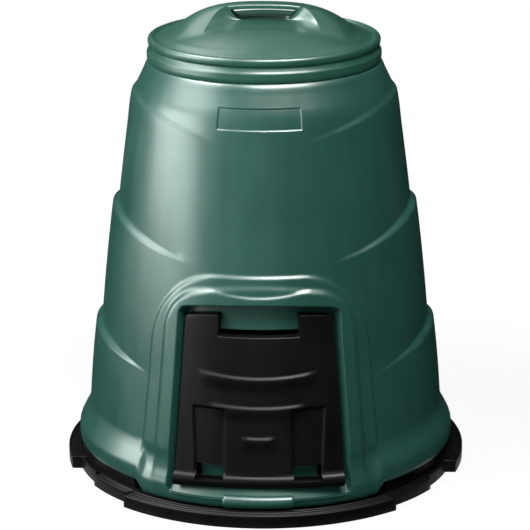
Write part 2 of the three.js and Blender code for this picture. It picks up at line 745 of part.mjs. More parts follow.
/** Base plate with its stepped rim, carrying ring, webs, drain holes and screw holes. */
function makePlate() {
  const { frontHalf, notchHalf, stepWidth } = plateRimAngles;
  const { bandHalf, footBlend, footClearance } = surroundAngles;
  const stepAngles = [frontHalf, frontHalf + stepWidth, bandHalf + footClearance, bandHalf + footBlend,
    notchHalf, notchHalf + stepWidth];
  const half = [...plateFrontAngles, ...stepAngles, ...plateBackAngles].sort((a, b) => a - b);
  const angles = [...mirrored(half), 180];
  const face = (under) => angles.map((angle) => plateProfile(angle, under).map(([r, h]) => polar(angle, r, h)));
  const shell = solid(bodyBetween(face(false), face(true), true));
  const webs = steps(0, fullTurnAngle, webCount).slice(0, -1).map((start) => {
    const angle = start + 180 / webCount;
    const first = ringInnerRadius + plate.wall / 2;
    const last = rimRadius(angle) - plate.wall / 2;
    const height = plate.rimHeight - plate.wall / 2 - plate.rimFootRise;
    const web = new THREE.BoxGeometry(plate.webThickness, last - first, height);
    web.translate(0, -(first + last) / 2, plate.rimFootRise + height / 2);
    web.rotateZ(degToRad(angle));
    return solid(web);
  });
  const drains = drainRingShares.flatMap((share, i) => (
    steps(0, fullTurnAngle, drainRingCounts[i]).slice(0, -1).map((angle) => post(angle, ringInnerRadius * share,
      plate.drainHoleRadius, -fit.overrun, plate.floorThickness + fit.overrun, 8))));
  const screwHoles = screwAngles.map((angle) => post(angle, screwCircleRadius,
    screw.shankRadius + screw.shankClearance, plate.ringHeight - plate.wall - fit.overrun / 2,
    plate.ringHeight + fit.overrun / 2, 10));
  const walls = webs.reduce((sum, web) => sum.add(web), shell);
  return [...drains, ...screwHoles].reduce((sum, cut) => sum.subtract(cut), walls);
}

/** Height of the plain dome of the lid at a radius, with the groove inside its rim. */
function domeSurface(radius) {
  const { domeHeight, domeEdgeHeight } = lid;
  const dome = domeHeight - (domeHeight - domeEdgeHeight) * Math.min(radius / domeRadius, 1) ** domePower;
  return lerp(dome, lid.wall + fit.seatGap, smoothstep(radius, domeRadius, grooveRadius));
}

/** Height of the lid's upper surface over a place, dome and raised grip together. */
function lidSurface(x, y) {
  const along = 1 - Math.min(Math.abs(x) / lid.humpHalfLength, 1) ** 4;
  const across = (1 - Math.min(Math.abs(y) / lid.humpHalfWidth, 1) ** 2) ** 2;
  return domeSurface(Math.hypot(x, y)) + lid.humpHeight * along * across;
}

/** Shell of the lid: skirt, two rolled beads, dome and raised grip. */
function lidShell() {
  const angles = steps(0, fullTurnAngle, lidColumnCount).slice(0, -1);
  const rim = [...rimShares].reverse().map(([out, up]) => [
    lerp(grooveRadius, lidRadius, out), up * skirtDepth,
  ]);
  const outer = angles.map((angle) => {
    const onDome = (radius) => {
      const place = polar(angle, radius, 0);
      return [radius, lidSurface(place.x, place.y)];
    };
    const shoulder = [grooveRadius, lerp(grooveRadius, domeRadius, 0.5), domeRadius].map(onDome);
    const rings = [...domeRingShares].reverse().map((share) => onDome(domeRadius * share));
    return [...rim, ...shoulder, ...rings];
  });
  const inner = outer.map((profile) => {
    const moved = offsetProfile(profile, lid.wall);
    moved[moved.length - 1] = [0, profile.at(-1)[1] - lid.wall];
    return moved;
  });
  const points = (profiles) => profiles.map((profile, c) => profile.map(([r, h]) => polar(angles[c], r, h)));
  return solid(bodyBetween(points(outer), points(inner), true));
}

/** Block of the lid over a plan given by its half length at each place across, between two surfaces. */
function lidBlock(places, halfLength, low, high, count = 8) {
  const surface = (height) => steps(-1, 1, count).map((share) => places.map((y) => {
    const x = share * halfLength(y);
    return new THREE.Vector3(x, y, height(x, y));
  }));
  return solid(bodyBetween(surface(high), surface(low)));
}

/** Half length of a scoop at a distance from the middle of the bar, opening like a fan. */
function scoopHalf(distance) {
  const share = clamp((distance - lid.barHalfWidth) / (lid.humpHalfWidth - lid.barHalfWidth), 0, 1);
  return lid.scoopHalfLength + lid.scoopSpread * share ** scoopPower;
}

/** Lid with a scoop on either side of its grip bar and a well for the fingers below the bar. */
function makeLid() {
  const { barHalfWidth, barThickness, humpHalfWidth, scoopHalfLength, wall } = lid;
  const wellHalfWidth = barHalfWidth + lid.wellReach;
  const floor = (x, y) => domeSurface(Math.hypot(x, y)) - lid.scoopSink;
  const below = (height, depth) => (x, y) => height(x, y) - depth;
  const under = below(lidSurface, wall / 2);
  const scoopPlaces = scoopShares.map((share) => lerp(barHalfWidth, humpHalfWidth, share));
  const liningPlaces = [barHalfWidth - wall, ...scoopPlaces.slice(1), humpHalfWidth + wall];
  const liningHalf = (y) => scoopHalf(Math.max(Math.abs(y) - wall, 0)) + wall;
  const sides = (places) => [places.map((y) => -y).reverse(), places];
  const scoops = sides(scoopPlaces).map((places) => (
    lidBlock(places, (y) => scoopHalf(Math.abs(y)), floor, below(lidSurface, -fit.overrun))));
  const linings = sides(liningPlaces).map((places) => lidBlock(places, liningHalf, below(floor, wall), under));
  const bar = lidBlock(mirrored([barHalfWidth]), () => scoopHalfLength + wall, below(floor, wall), under);
  const wellPlaces = (half) => mirrored(wellEdgeShares.map((share) => share * half));
  const wellHalf = (half, length) => (y) => length * Math.sqrt(1 - (y / half) ** 2);
  const gapPlaces = mirrored([barHalfWidth, barHalfWidth + fit.overrun]);
  const gap = lidBlock(gapPlaces, () => scoopHalfLength, floor, below(lidSurface, barThickness));
  const wellFloor = below((x, y) => domeSurface(Math.hypot(x, y)), lid.wellDepth);
  const well = lidBlock(wellPlaces(wellHalfWidth), wellHalf(wellHalfWidth, scoopHalfLength),
    wellFloor, below(lidSurface, barThickness));
  const wellLining = lidBlock(wellPlaces(wellHalfWidth + wall), wellHalf(wellHalfWidth + wall, scoopHalfLength + wall),
    below(wellFloor, wall), below(floor, wall / 2));
  const walls = [...linings, bar, wellLining].reduce((sum, piece) => sum.add(piece), lidShell());
  return [...scoops, gap, well].reduce((sum, cut) => sum.subtract(cut), walls);
}

/** Screw with a domed head, point upwards, with its head seat at height zero. */
function makeScrew() {
  const { headRadius, headHeight, shankRadius, length } = screw;
  const profile = [
    [0, -headHeight], [headRadius * 0.6, -headHeight], [headRadius, -headHeight * 0.45], [headRadius, 0],
    [shankRadius, 0], [shankRadius, length - shankRadius * 2], [0, length],
  ].map(([radius, height]) => new THREE.Vector2(radius, height));
  const geometry = new THREE.LatheGeometry(profile, 10);
  geometry.rotateX(Math.PI / 2);
  return solid(geometry);
}

/** Moulded polyethylene of a colour. */
const plastic = (color, roughness) => new THREE.MeshStandardMaterial({ color, roughness, metalness: 0 });

const bin = new THREE.Group();

const drumMesh = meshOf(makeDrum(), 'bin_body', plastic(0x2f6b5a, 0.42));
drumMesh.position.z = seatHeight;
bin.add(drumMesh);

const hatchMesh = meshOf(makeHatch(), 'hatch', plastic(0x1c1b1c, 0.45));
hatchMesh.position.z = seatHeight;
bin.add(hatchMesh);

const lidMesh = meshOf(makeLid(), 'lid', plastic(0x2f6b5a, 0.42));
lidMesh.position.z = seatHeight + neckTopHeight;
bin.add(lidMesh);

bin.add(meshOf(makePlate(), 'base_plate', plastic(0x1c1b1c, 0.5)));

screwAngles.forEach((angle, i) => {
  const steel = new THREE.MeshStandardMaterial({ color: 0x9a9c9e, roughness: 0.35, metalness: 1 });
  const mesh = meshOf(makeScrew(), `base_screw_${i + 1}`, steel);
  mesh.position.copy(polar(angle, screwCircleRadius, plate.ringHeight - plate.wall - fit.seatGap));
  bin.add(mesh);
});

export default bin;
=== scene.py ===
"""Compost bin with a lift-off lid, a tilting hatch and a base plate, all of moulded polyethylene.

Lengths in the classes are millimetres and become metres when a mesh is made. Angles are degrees
round the axis of the drum, 0 at the middle of the hatch (-Y) and positive towards +X. Heights of
the drum and the hatch are above the seat of the drum's foot, and those of the lid above its neck.
"""
import logging
import math
from dataclasses import dataclass, field
from enum import Enum
from typing import Callable, Sequence

import bmesh
import bpy
import numpy as np
from mathutils import Matrix, Vector


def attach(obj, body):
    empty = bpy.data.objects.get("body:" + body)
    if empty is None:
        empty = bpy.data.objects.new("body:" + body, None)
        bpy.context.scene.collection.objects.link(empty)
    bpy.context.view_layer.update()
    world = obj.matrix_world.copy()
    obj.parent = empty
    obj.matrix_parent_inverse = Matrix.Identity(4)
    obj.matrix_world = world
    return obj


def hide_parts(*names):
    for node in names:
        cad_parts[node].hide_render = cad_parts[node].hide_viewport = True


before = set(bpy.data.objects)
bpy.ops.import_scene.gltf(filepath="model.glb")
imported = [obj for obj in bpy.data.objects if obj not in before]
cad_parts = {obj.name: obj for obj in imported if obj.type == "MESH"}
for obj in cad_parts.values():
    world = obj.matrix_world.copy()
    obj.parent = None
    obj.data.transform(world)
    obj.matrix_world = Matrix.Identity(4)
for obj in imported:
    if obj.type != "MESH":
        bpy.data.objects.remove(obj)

log = logging.getLogger("compost_bin")
logging.basicConfig(level=logging.INFO, format="%(message)s")

Array = np.ndarray
Corner = tuple[float, float]
METRE = 0.001  # metres in a millimetre
WHITE = (1.0, 1.0, 1.0, 1.0)


class Body(Enum):
    """Moving bodies of the bin that a piece can ride on."""

    BIN = "bin"
    LID = "lid"
    HATCH = "hatch"


class Slot(Enum):
    """Material slots of the record."""

    DRUM = "drum_plastic"
    LID = "lid_plastic"
    HATCH = "hatch_plastic"
    PLATE = "plate_plastic"
    SCREW = "screw_steel"


# Curves and profiles


def smooth(value: Array, start: float, end: float) -> Array:
    """Smooth step: 3t^2 - 2t^3, where t runs from 0 at start to 1 at end.

    Args:
        value: Where the step is read.
        start: Value at which the step begins.
        end: Value at which the step is complete.

    Returns:
        Numbers from 0 to 1.
    """
    t = np.clip((np.asarray(value, float) - start) / (end - start), 0.0, 1.0)
    return t * t * (3.0 - 2.0 * t)


def blend(first: Array, second: Array, share: Array) -> Array:
    """Straight mix of two arrays: first where share is 0, second where it is 1."""
    return first + (second - first) * share


def monotone(value: Array, knots: Sequence[float], levels: Sequence[float]) -> Array:
    """Cubic curve through knots that never overshoots them.

    The slope at a knot is the weighted harmonic mean of the two chords beside it, or zero where the
    chords change sign. Between two knots the curve is the cubic Hermite polynomial of those slopes.

    Args:
        value: Where the curve is read. It is held at the first and last knot beyond them.
        knots: Rising places of the knots.
        levels: Height of the curve at each knot.

    Returns:
        Heights of the curve.
    """
    knot, level = np.asarray(knots, float), np.asarray(levels, float)
    gap = np.diff(knot)
    chord = np.diff(level) / gap
    before, after = chord[:-1], chord[1:]
    weight_before, weight_after = 2 * gap[1:] + gap[:-1], gap[1:] + 2 * gap[:-1]
    turning = before * after <= 0
    safe_before, safe_after = np.where(turning, 1.0, before), np.where(turning, 1.0, after)
    mean = (weight_before + weight_after) / (weight_before / safe_before + weight_after / safe_after)
    slope = np.concatenate([chord[:1], np.where(turning, 0.0, mean), chord[-1:]])
    place = np.clip(np.asarray(value, float), knot[0], knot[-1])
    i = np.clip(np.searchsorted(knot, place, side="right") - 1, 0, len(gap) - 1)
    t = (place - knot[i]) / gap[i]
    start, end = (1 + 2 * t) * (1 - t) ** 2, t * t * (3 - 2 * t)
    rise_start, rise_end = t * (1 - t) ** 2, t * t * (t - 1)
    risen = gap[i] * (rise_start * slope[i] + rise_end * slope[i + 1])
    return start * level[i] + end * level[i + 1] + risen


def curve_through(points: Sequence[Corner], count: int) -> Array:
    """Smooth open curve through points, by monotone cubics over the length of their chords.

    Args:
        points: Points in a plane.
        count: How many points the curve gets, evenly spaced along the chords.

    Returns:
        Array of count rows of two.
    """
    given = np.asarray(points, float)
    length = np.concatenate([[0.0], np.cumsum(np.hypot(*np.diff(given, axis=0).T))])
    place = np.linspace(0.0, length[-1], count)
    return np.stack([monotone(place, length, given[:, 0]), monotone(place, length, given[:, 1])], axis=1)


def rounded_path(
    corners: Sequence[Corner], radii: Sequence[float], legs: Sequence[int], arc: int = 5
) -> Array:
    """Open path of straight legs, with a tangent arc in place of each inner corner.

    An arc's centre lies on the bisector of its corner, at its radius over the sine of half the
    angle between the legs. Its points come from turning the radius evenly from leg to leg.

    Args:
        corners: First point, corners and last point.
        radii: Radius at each inner corner.
        legs: Steps along each straight leg.
        arc: Steps along each arc.

    Returns:
        Array of rows of two, legs and arcs in order.
    """
    given = np.asarray(corners, float)
    starts, ends, arcs = [given[0]], [], []
    for before, corner, after, radius in zip(given, given[1:], given[2:], radii):
        back = (before - corner) / np.linalg.norm(before - corner)
        ahead = (after - corner) / np.linalg.norm(after - corner)
        half = math.acos(float(np.clip(back @ ahead, -1.0, 1.0))) / 2
        middle = (back + ahead) / np.linalg.norm(back + ahead)
        centre = corner + middle * radius / math.sin(half)
        first, last = corner + back * radius / math.tan(half), corner + ahead * radius / math.tan(half)
        turn = np.linspace(0.0, 1.0, arc + 1)[:, None]
        swing = math.pi - 2 * half
        spoke = np.sin((1 - turn) * swing) * (first - centre) + np.sin(turn * swing) * (last - centre)
        arcs.append(centre + spoke / math.sin(swing))
        ends.append(first)
        starts.append(last)
    ends.append(given[-1])
    pieces = []
    for i, (start, end, steps) in enumerate(zip(starts, ends, legs)):
        share = np.linspace(0.0, 1.0, steps + 1)[:-1, None]
        pieces.append(start + (end - start) * share)
        if i < len(arcs):
            pieces.append(arcs[i][:-1])
    return np.vstack([*pieces, given[-1:]])


def stations(*runs: tuple[float, float, float]) -> Array:
    """Rising places in runs of their own spacing.

    Args:
        runs: For each run its start, end and greatest spacing.

    Returns:
        Every place once, in rising order.
    """
    parts = [np.linspace(a, b, max(int(math.ceil((b - a) / step)), 1) + 1) for a, b, step in runs]
    return np.unique(np.round(np.concatenate(parts), 6))


def mirrored(places: Array) -> Array:
    """Places and their mirror images about zero, in rising order."""
    return np.unique(np.round(np.concatenate([-places, places]), 6))


def rounded_least(first: Array, second: Array, radius: float) -> Array:
    """Lesser of two depths, or in a rounded corner the radius less the way to the corner's centre."""
    corner = radius - np.hypot(radius - first, radius - second)
    return np.where((first < radius) & (second < radius), corner, np.minimum(first, second))


def shared_out(place: Array, knots: Sequence[float], climbs: Sequence[Array]) -> Array:
    """Climb of every row, shared out straight between the climbs at the two knots beside it.

    Args:
        place: Nominal heights of the rows.
        knots: Rising nominal heights whose climbs are known.
        climbs: Climb at each knot, with one value for each column.

    Returns:
        Climbs, columns by rows. They are held at the first and last knot beyond them.
    """
    knot, stack = np.asarray(knots), np.stack([climb.ravel() for climb in climbs])
    which = np.clip(np.searchsorted(knot, place.ravel(), side="right") - 1, 0, len(knot) - 2)
    share = np.clip((place.ravel() - knot[which]) / (knot[which + 1] - knot[which]), 0.0, 1.0)
    return stack[which].T * (1 - share) + stack[which + 1].T * share


def polar(angle: Array | float, radius: Array | float, height: Array | float) -> Array:
    """Points round the axis: radius times sine, radius times minus cosine, height.

    Args:
        angle: Angles from the front.
        radius: Distances from the axis.
        height: Heights of the points.

    Returns:
        The three arrays broadcast together, with a last axis of 3.
    """
    turn = np.radians(angle)
    radius, height, turn = np.broadcast_arrays(radius, height, turn)
    return np.stack([radius * np.sin(turn), -radius * np.cos(turn), height], axis=-1)


# Meshes


def linked(name: str, data: bpy.types.ID) -> bpy.types.Object:
    """New object in the scene.

    Args:
        name: Name of the object.
        data: Its mesh, light or camera.

    Returns:
        Object at the origin.
    """
    obj = bpy.data.objects.new(name, data)
    bpy.context.scene.collection.objects.link(obj)
    return obj


def surface(
    name: str,
    points: Array,
    lift: float = 0.0,
    keep: Array | None = None,
    round_columns: bool = False,
    round_rows: bool = False,
    capped: bool = False,
) -> bpy.types.Object:
    """Mesh object of a grid of points.

    Column c and row r are joined to column c + 1 and row r + 1 by a quad, so that a face points to
    the right of the row direction when columns run anticlockwise.

    Args:
        name: Name of the object.
        points: Columns by rows by 3, in millimetres.
        lift: Height added to every point, in millimetres.
        keep: Which quads are kept, columns by rows, or None for all.
        round_columns: Whether the last column joins the first.
        round_rows: Whether the last row joins the first.
        capped: Whether the first and last column are closed by a face.

    Returns:
        Object at the origin with the mesh, in metres.
    """
    index = np.arange(points.shape[0] * points.shape[1]).reshape(points.shape[:2])
    if round_columns:
        index = np.vstack([index, index[:1]])
    if round_rows:
        index = np.hstack([index, index[:, :1]])
    quads = np.stack([index[:-1, :-1], index[1:, :-1], index[1:, 1:], index[:-1, 1:]], axis=-1)
    faces = quads.reshape(-1, 4) if keep is None else quads[keep]
    used, renumbered = np.unique(faces, return_inverse=True)
    polygons = renumbered.reshape(-1, 4).tolist()
    if capped:
        polygons += [index[0, :-1][::-1].tolist(), index[-1, :-1].tolist()]
    flat = points.reshape(-1, 3)[used] + np.array([0.0, 0.0, lift])
    mesh = bpy.data.meshes.new(name)
    mesh.from_pydata((flat * METRE).tolist(), [], polygons)
    return linked(name, mesh)


def weld(obj: bpy.types.Object, outward: bool = False) -> None:
    """Merge the points of a mesh that coincide.

    Args:
        obj: Piece to mend.
        outward: Whether the faces of a closed piece are turned to point out.
    """
    nearest = 2e-6
    shape = bmesh.new()
    shape.from_mesh(obj.data)
    bmesh.ops.remove_doubles(shape, verts=shape.verts, dist=nearest)
    bmesh.ops.dissolve_degenerate(shape, edges=shape.edges, dist=nearest)
    if outward:
        bmesh.ops.recalc_face_normals(shape, faces=shape.faces)
    shape.to_mesh(obj.data)
    shape.free()


def settle(obj: bpy.types.Object) -> None:
    """Replace a piece's mesh by the one that its modifiers make, and drop the modifiers.

    Args:
        obj: Piece with live modifiers.
    """
    made = bpy.data.meshes.new_from_object(obj.evaluated_get(bpy.context.evaluated_depsgraph_get()))
    obj.modifiers.clear()
    obj.data = made


def thicken(obj: bpy.types.Object, wall: float) -> None:
    """Give an open sheet its wall, on the side that its faces point away from.

    Args:
        obj: Sheet whose faces point out.
        wall: Thickness in millimetres.
    """
    wall_maker = obj.modifiers.new("wall", "SOLIDIFY")
    wall_maker.thickness = wall * METRE
    wall_maker.offset = -1.0
    settle(obj)


def dress(
    obj: bpy.types.Object,
    material: bpy.types.Material,
    body: Body,
    replaces: Sequence[str] = (),
    crease: float = 32.0,
) -> None:
    """Shade a piece, give it its finish and put it on its body.

    Args:
        obj: Piece with its final mesh.
        material: Finish of the whole piece.
        body: Body that the piece rides on.
        replaces: CAD nodes that the piece stands for.
        crease: Angle in degrees past which an edge is shaded sharp.
    """
    mesh = obj.data
    mesh.polygons.foreach_set("use_smooth", np.ones(len(mesh.polygons), bool))
    mesh.set_sharp_from_angle(angle=math.radians(crease))
    mesh.materials.clear()
    mesh.materials.append(material)
    if replaces:
        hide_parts(*replaces)
    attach(obj, body.value)
    mesh.calc_loop_triangles()
    log.info("%s: %d triangles", obj.name, len(mesh.loop_triangles))


def bar(
    name: str, section: Array, angles: Array, inset: Array, lift: float, centre: Corner
) -> bpy.types.Object:
    """Closed bar of a section carried round the axis, with rounded ends.

    A point of the section at an angle lies at the section's point moved towards the centre by the
    inset at that angle, as a share of the way.

    Args:
        name: Name of the piece.
        section: Closed section as radius and height, without its last point repeated.
        angles: Angles along the bar.
        inset: Share of the way to the centre at each angle.
        lift: Height added to every point.
        centre: Centre of the section.

    Returns:
        Closed object.
    """
    middle = np.asarray(centre, float)
    shape = section[None] + (middle - section[None]) * inset[:, None, None]
    made = surface(
        name, polar(angles[:, None], shape[..., 0], shape[..., 1]), lift, round_rows=True, capped=True
    )
    weld(made, outward=True)
    return made


def bar_ends(half: float, round_angle: float, deepest: float, middle_steps: int) -> tuple[Array, Array]:
    """Angles and insets of a bar whose two ends are rounded by a quarter circle.

    The inset grows from 0 to its deepest value as one less the cosine of the way into the end.

    Args:
        half: Half of the bar's angle.
        round_angle: Angle that each rounded end takes.
        deepest: Inset at the very end, as a share of the way to the centre.
        middle_steps: Steps along the straight middle.

    Returns:
        Angles, and the inset at each.
    """
    way = np.linspace(0.0, 90.0, 7)
    end_angles = half - round_angle + round_angle * np.sin(np.radians(way))
    end_inset = deepest * (1 - np.cos(np.radians(way)))
    inner = np.linspace(-(half - round_angle), half - round_angle, middle_steps + 1)[1:-1]
    angles = np.concatenate([-end_angles[::-1], inner, end_angles])
    return angles, np.concatenate([end_inset[::-1], np.zeros(len(inner)), end_inset])


def box_section(low: Corner, high: Corner, radius: float, legs: tuple[int, int] = (4, 6)) -> Array:
    """Closed rectangle with rounded corners, as points in a plane.

    Args:
        low: Lower corner.
        high: Upper corner.
        radius: Radius of its four corners.
        legs: Steps along its sides, across and upwards.

    Returns:
        Points without the first one repeated.
    """
    (x0, y0), (x1, y1) = low, high
    start = ((x0 + x1) / 2, y0)
    corners = [start, (x1, y0), (x1, y1), (x0, y1), (x0, y0), start]
    across, upward = legs
    steps = [across, upward, across * 2, upward, across]
    return rounded_path(corners, [radius] * 4, steps)[:-1]


# Finishes

# sockets of a node that mixes two colours: the ones that go in, and the one that comes out
FIRST_COLOUR, SECOND_COLOUR, MIXED_COLOUR = 6, 7, 2


def linear(colour: str) -> tuple[float, float, float, float]:
    """Linear colour of an sRGB value, by the standard's straight foot and its power of 2.4.

    Args:
        colour: Hex value such as #2F6B5A.

    Returns:
        Red, green, blue and an alpha of 1.
    """
    shares = [int(colour[i : i + 2], 16) / 255 for i in (1, 3, 5)]
    red, green, blue = [s / 12.92 if s <= 0.04045 else ((s + 0.055) / 1.055) ** 2.4 for s in shares]
    return red, green, blue, 1.0


def add_node(
    tree: bpy.types.NodeTree, kind: str, inputs: dict[str | int, object] | None = None, **settings: object
) -> bpy.types.Node:
    """Add a node, with its settings and its inputs set or linked.

    Args:
        tree: Node tree that gets the node.
        kind: Blender's name of the node's type.
        inputs: Value of an input, or the socket that is linked to it.
        settings: Attributes of the node.

    Returns:
        The new node.
    """
    made = tree.nodes.new(kind)
    for key, value in settings.items():
        setattr(made, key, value)
    for socket, value in (inputs or {}).items():
        if isinstance(value, bpy.types.NodeSocket):
            tree.links.new(value, made.inputs[socket])
        else:
            made.inputs[socket].default_value = value
    return made


def per_metre(size: float) -> float:
    """Scale of a pattern whose features are size millimetres across."""
    return 1.0 / (size * METRE)


def emptied(owner: bpy.types.Material | bpy.types.World) -> bpy.types.NodeTree:
    """Node tree with nothing in it.

    Args:
        owner: Material or world that the tree belongs to.

    Returns:
        The tree.
    """
    owner.use_nodes = True
    owner.node_tree.nodes.clear()
    return owner.node_tree


def new_material(name: str) -> tuple[bpy.types.Material, bpy.types.NodeTree, bpy.types.Node]:
    """Material with a surface shader and nothing else.

    Args:
        name: Name of the material.

    Returns:
        The material, its node tree and the shader.
    """
    material = bpy.data.materials.new(name)
    tree = emptied(material)
    shader = add_node(tree, "ShaderNodeBsdfPrincipled")
    add_node(tree, "ShaderNodeOutputMaterial", {"Surface": shader.outputs["BSDF"]})
    return material, tree, shader


@dataclass(frozen=True)
class MouldedPolyethylene:
    """High-density polyethylene, injection moulded in a spark-eroded tool.

    The tool leaves a fine, even grain that softens reflections without hiding them. The melt leaves
    faint streaks along its flow and broad, shallow waves, and the colour drifts a little with them.

    Args:
        name: Name of the material.
        colour: Colour of most of the surface.
        drift: Colour that the surface drifts towards in patches.
        roughness: Middle of its roughness.
        roughness_spread: How far the roughness strays from its middle.
        grain_size: Width of a grain. The real one is finer, and is drawn as coarse as it shows.
        grain_height: Height of the grain.
        wave_size: Width of the shallow waves.
        wave_height: Height of the waves.
        patch_size: Width of a patch of drifted colour.
        streak_width: Width of a flow streak.
        streak_length: Length of a flow streak, along Z.
        streak_share: Share of the streaks in the pattern that tints and roughens.
        drift_span: Values of the pattern between which the colour drifts.
        rough_span: Values of the pattern between which the roughness strays.
        specular_level: Specular level of the surface.
        ior: Index of refraction of polyethylene.
    """

    name: str
    colour: str
    drift: str
    roughness: float
    roughness_spread: float = 0.05
    grain_size: float = 1.6
    grain_height: float = 0.03
    wave_size: float = 70.0
    wave_height: float = 0.35
    patch_size: float = 120.0
    streak_width: float = 22.0
    streak_length: float = 400.0
    streak_share: float = 0.45
    drift_span: tuple[float, float] = (0.36, 0.64)
    rough_span: tuple[float, float] = (0.3, 0.7)
    specular_level: float = 0.2
    ior: float = 1.54

    def material(self) -> bpy.types.Material:
        """Build the node tree: patches and streaks tint and roughen, grain and waves bend the light.

        Returns:
            The material.
        """
        material, tree, shader = new_material(self.name)
        place = add_node(tree, "ShaderNodeTexCoord").outputs["Object"]
        patch = add_node(
            tree,
            "ShaderNodeTexNoise",
            {"Vector": place, "Scale": per_metre(self.patch_size), "Detail": 3.0, "Roughness": 0.55},
        )
        stretch = [per_metre(size) for size in (self.streak_width, self.streak_width, self.streak_length)]
        along = add_node(tree, "ShaderNodeMapping", {"Vector": place, "Scale": stretch})
        streak = add_node(
            tree, "ShaderNodeTexNoise", {"Vector": along.outputs["Vector"], "Scale": 1.0, "Detail": 4.0}
        )
        both = add_node(
            tree,
            "ShaderNodeMix",
            {"Factor": self.streak_share, "A": patch.outputs["Fac"], "B": streak.outputs["Fac"]},
            data_type="FLOAT",
        )
        least, most = self.drift_span
        share = add_node(
            tree,
            "ShaderNodeMapRange",
            {"Value": both.outputs[0], "From Min": least, "From Max": most, "To Min": 0.0, "To Max": 1.0},
        )
        tint = add_node(
            tree,
            "ShaderNodeMix",
            {
                "Factor": share.outputs["Result"],
                FIRST_COLOUR: linear(self.colour),
                SECOND_COLOUR: linear(self.drift),
            },
            data_type="RGBA",
        )
        rough = add_node(
            tree,
            "ShaderNodeMapRange",
            {
                "Value": both.outputs[0],
                "From Min": self.rough_span[0],
                "From Max": self.rough_span[1],
                "To Min": self.roughness - self.roughness_spread,
                "To Max": self.roughness + self.roughness_spread,
            },
        )
        grain, wave = (
            add_node(
                tree, "ShaderNodeTexNoise", {"Vector": place, "Scale": per_metre(size), "Detail": detail}
            )
            for size, detail in ((self.grain_size, 2.0), (self.wave_size, 1.0))
        )
        broad = add_node(
            tree,
            "ShaderNodeBump",
            {"Height": wave.outputs["Fac"], "Strength": 1.0, "Distance": self.wave_height * METRE},
        )
        fine = add_node(
            tree,
            "ShaderNodeBump",
            {
                "Height": grain.outputs["Fac"],
                "Strength": 1.0,
                "Distance": self.grain_height * METRE,
                "Normal": broad.outputs["Normal"],
            },
        )
        tree.links.new(tint.outputs[MIXED_COLOUR], shader.inputs["Base Color"])
        tree.links.new(rough.outputs["Result"], shader.inputs["Roughness"])
        tree.links.new(fine.outputs["Normal"], shader.inputs["Normal"])
        shader.inputs["Specular IOR Level"].default_value = self.specular_level
        shader.inputs["IOR"].default_value = self.ior
        return material


@dataclass(frozen=True)
class ZincPlatedSteel:
    """Cold-headed steel with bright zinc plating: fine crystals that break up a sharp reflection.

    Args:
        name: Name of the material.
        colour: Colour of the plating.
        dull: Colour where the plating has dulled.
        roughness: Roughness in the middle of a crystal patch and at its edge.
        crystal_size: Width of a crystal patch in millimetres, drawn coarse enough to show.
    """

    name: str
    colour: str
    dull: str
    roughness: tuple[float, float] = (0.24, 0.44)
    crystal_size: float = 1.2

    def material(self) -> bpy.types.Material:
        """Build the node tree: cells tint and roughen the metal.

        Returns:
            The material.
        """
        material, tree, shader = new_material(self.name)
        place = add_node(tree, "ShaderNodeTexCoord").outputs["Object"]
        cells = add_node(
            tree, "ShaderNodeTexVoronoi", {"Vector": place, "Scale": per_metre(self.crystal_size)}
        )
        tint = add_node(
            tree,
            "ShaderNodeMix",
            {
                "Factor": cells.outputs["Distance"],
                FIRST_COLOUR: linear(self.colour),
                SECOND_COLOUR: linear(self.dull),
            },
            data_type="RGBA",
        )
        rough = add_node(
            tree,
            "ShaderNodeMapRange",
            {
                "Value": cells.outputs["Distance"],
                "To Min": self.roughness[0],
                "To Max": self.roughness[1],
            },
        )
        tree.links.new(tint.outputs[MIXED_COLOUR], shader.inputs["Base Color"])
        tree.links.new(rough.outputs["Result"], shader.inputs["Roughness"])
        shader.inputs["Metallic"].default_value = 1.0
        return material


# Drum


@dataclass
class Crescent:
    """One crescent step of the drum, highest at the two sides.

    Args:
        side_height: Height of its ledge at the sides.
        drop: How far the ledge sinks at front and back.
        proud: How far the drum swells under the ledge.
        fade: Angles from the front at which the swelling begins and is full.
        rise_power: How late the ledge rises on its way to the side. At 1 it rises evenly.
    """

    side_height: float
    drop: float
    proud: float
    fade: tuple[float, float]
    rise_power: float = 2.4

    @property
    def front_height(self) -> float:
        """Height of its ledge at the middle of the front."""
        return self.side_height - self.drop

    def ledge(self, angle: Array) -> Array:
        """Height of the ledge: side height less the drop times one less the sine's power."""
        rise = np.abs(np.sin(np.radians(angle))) ** self.rise_power
        return self.side_height - self.drop * (1 - rise)


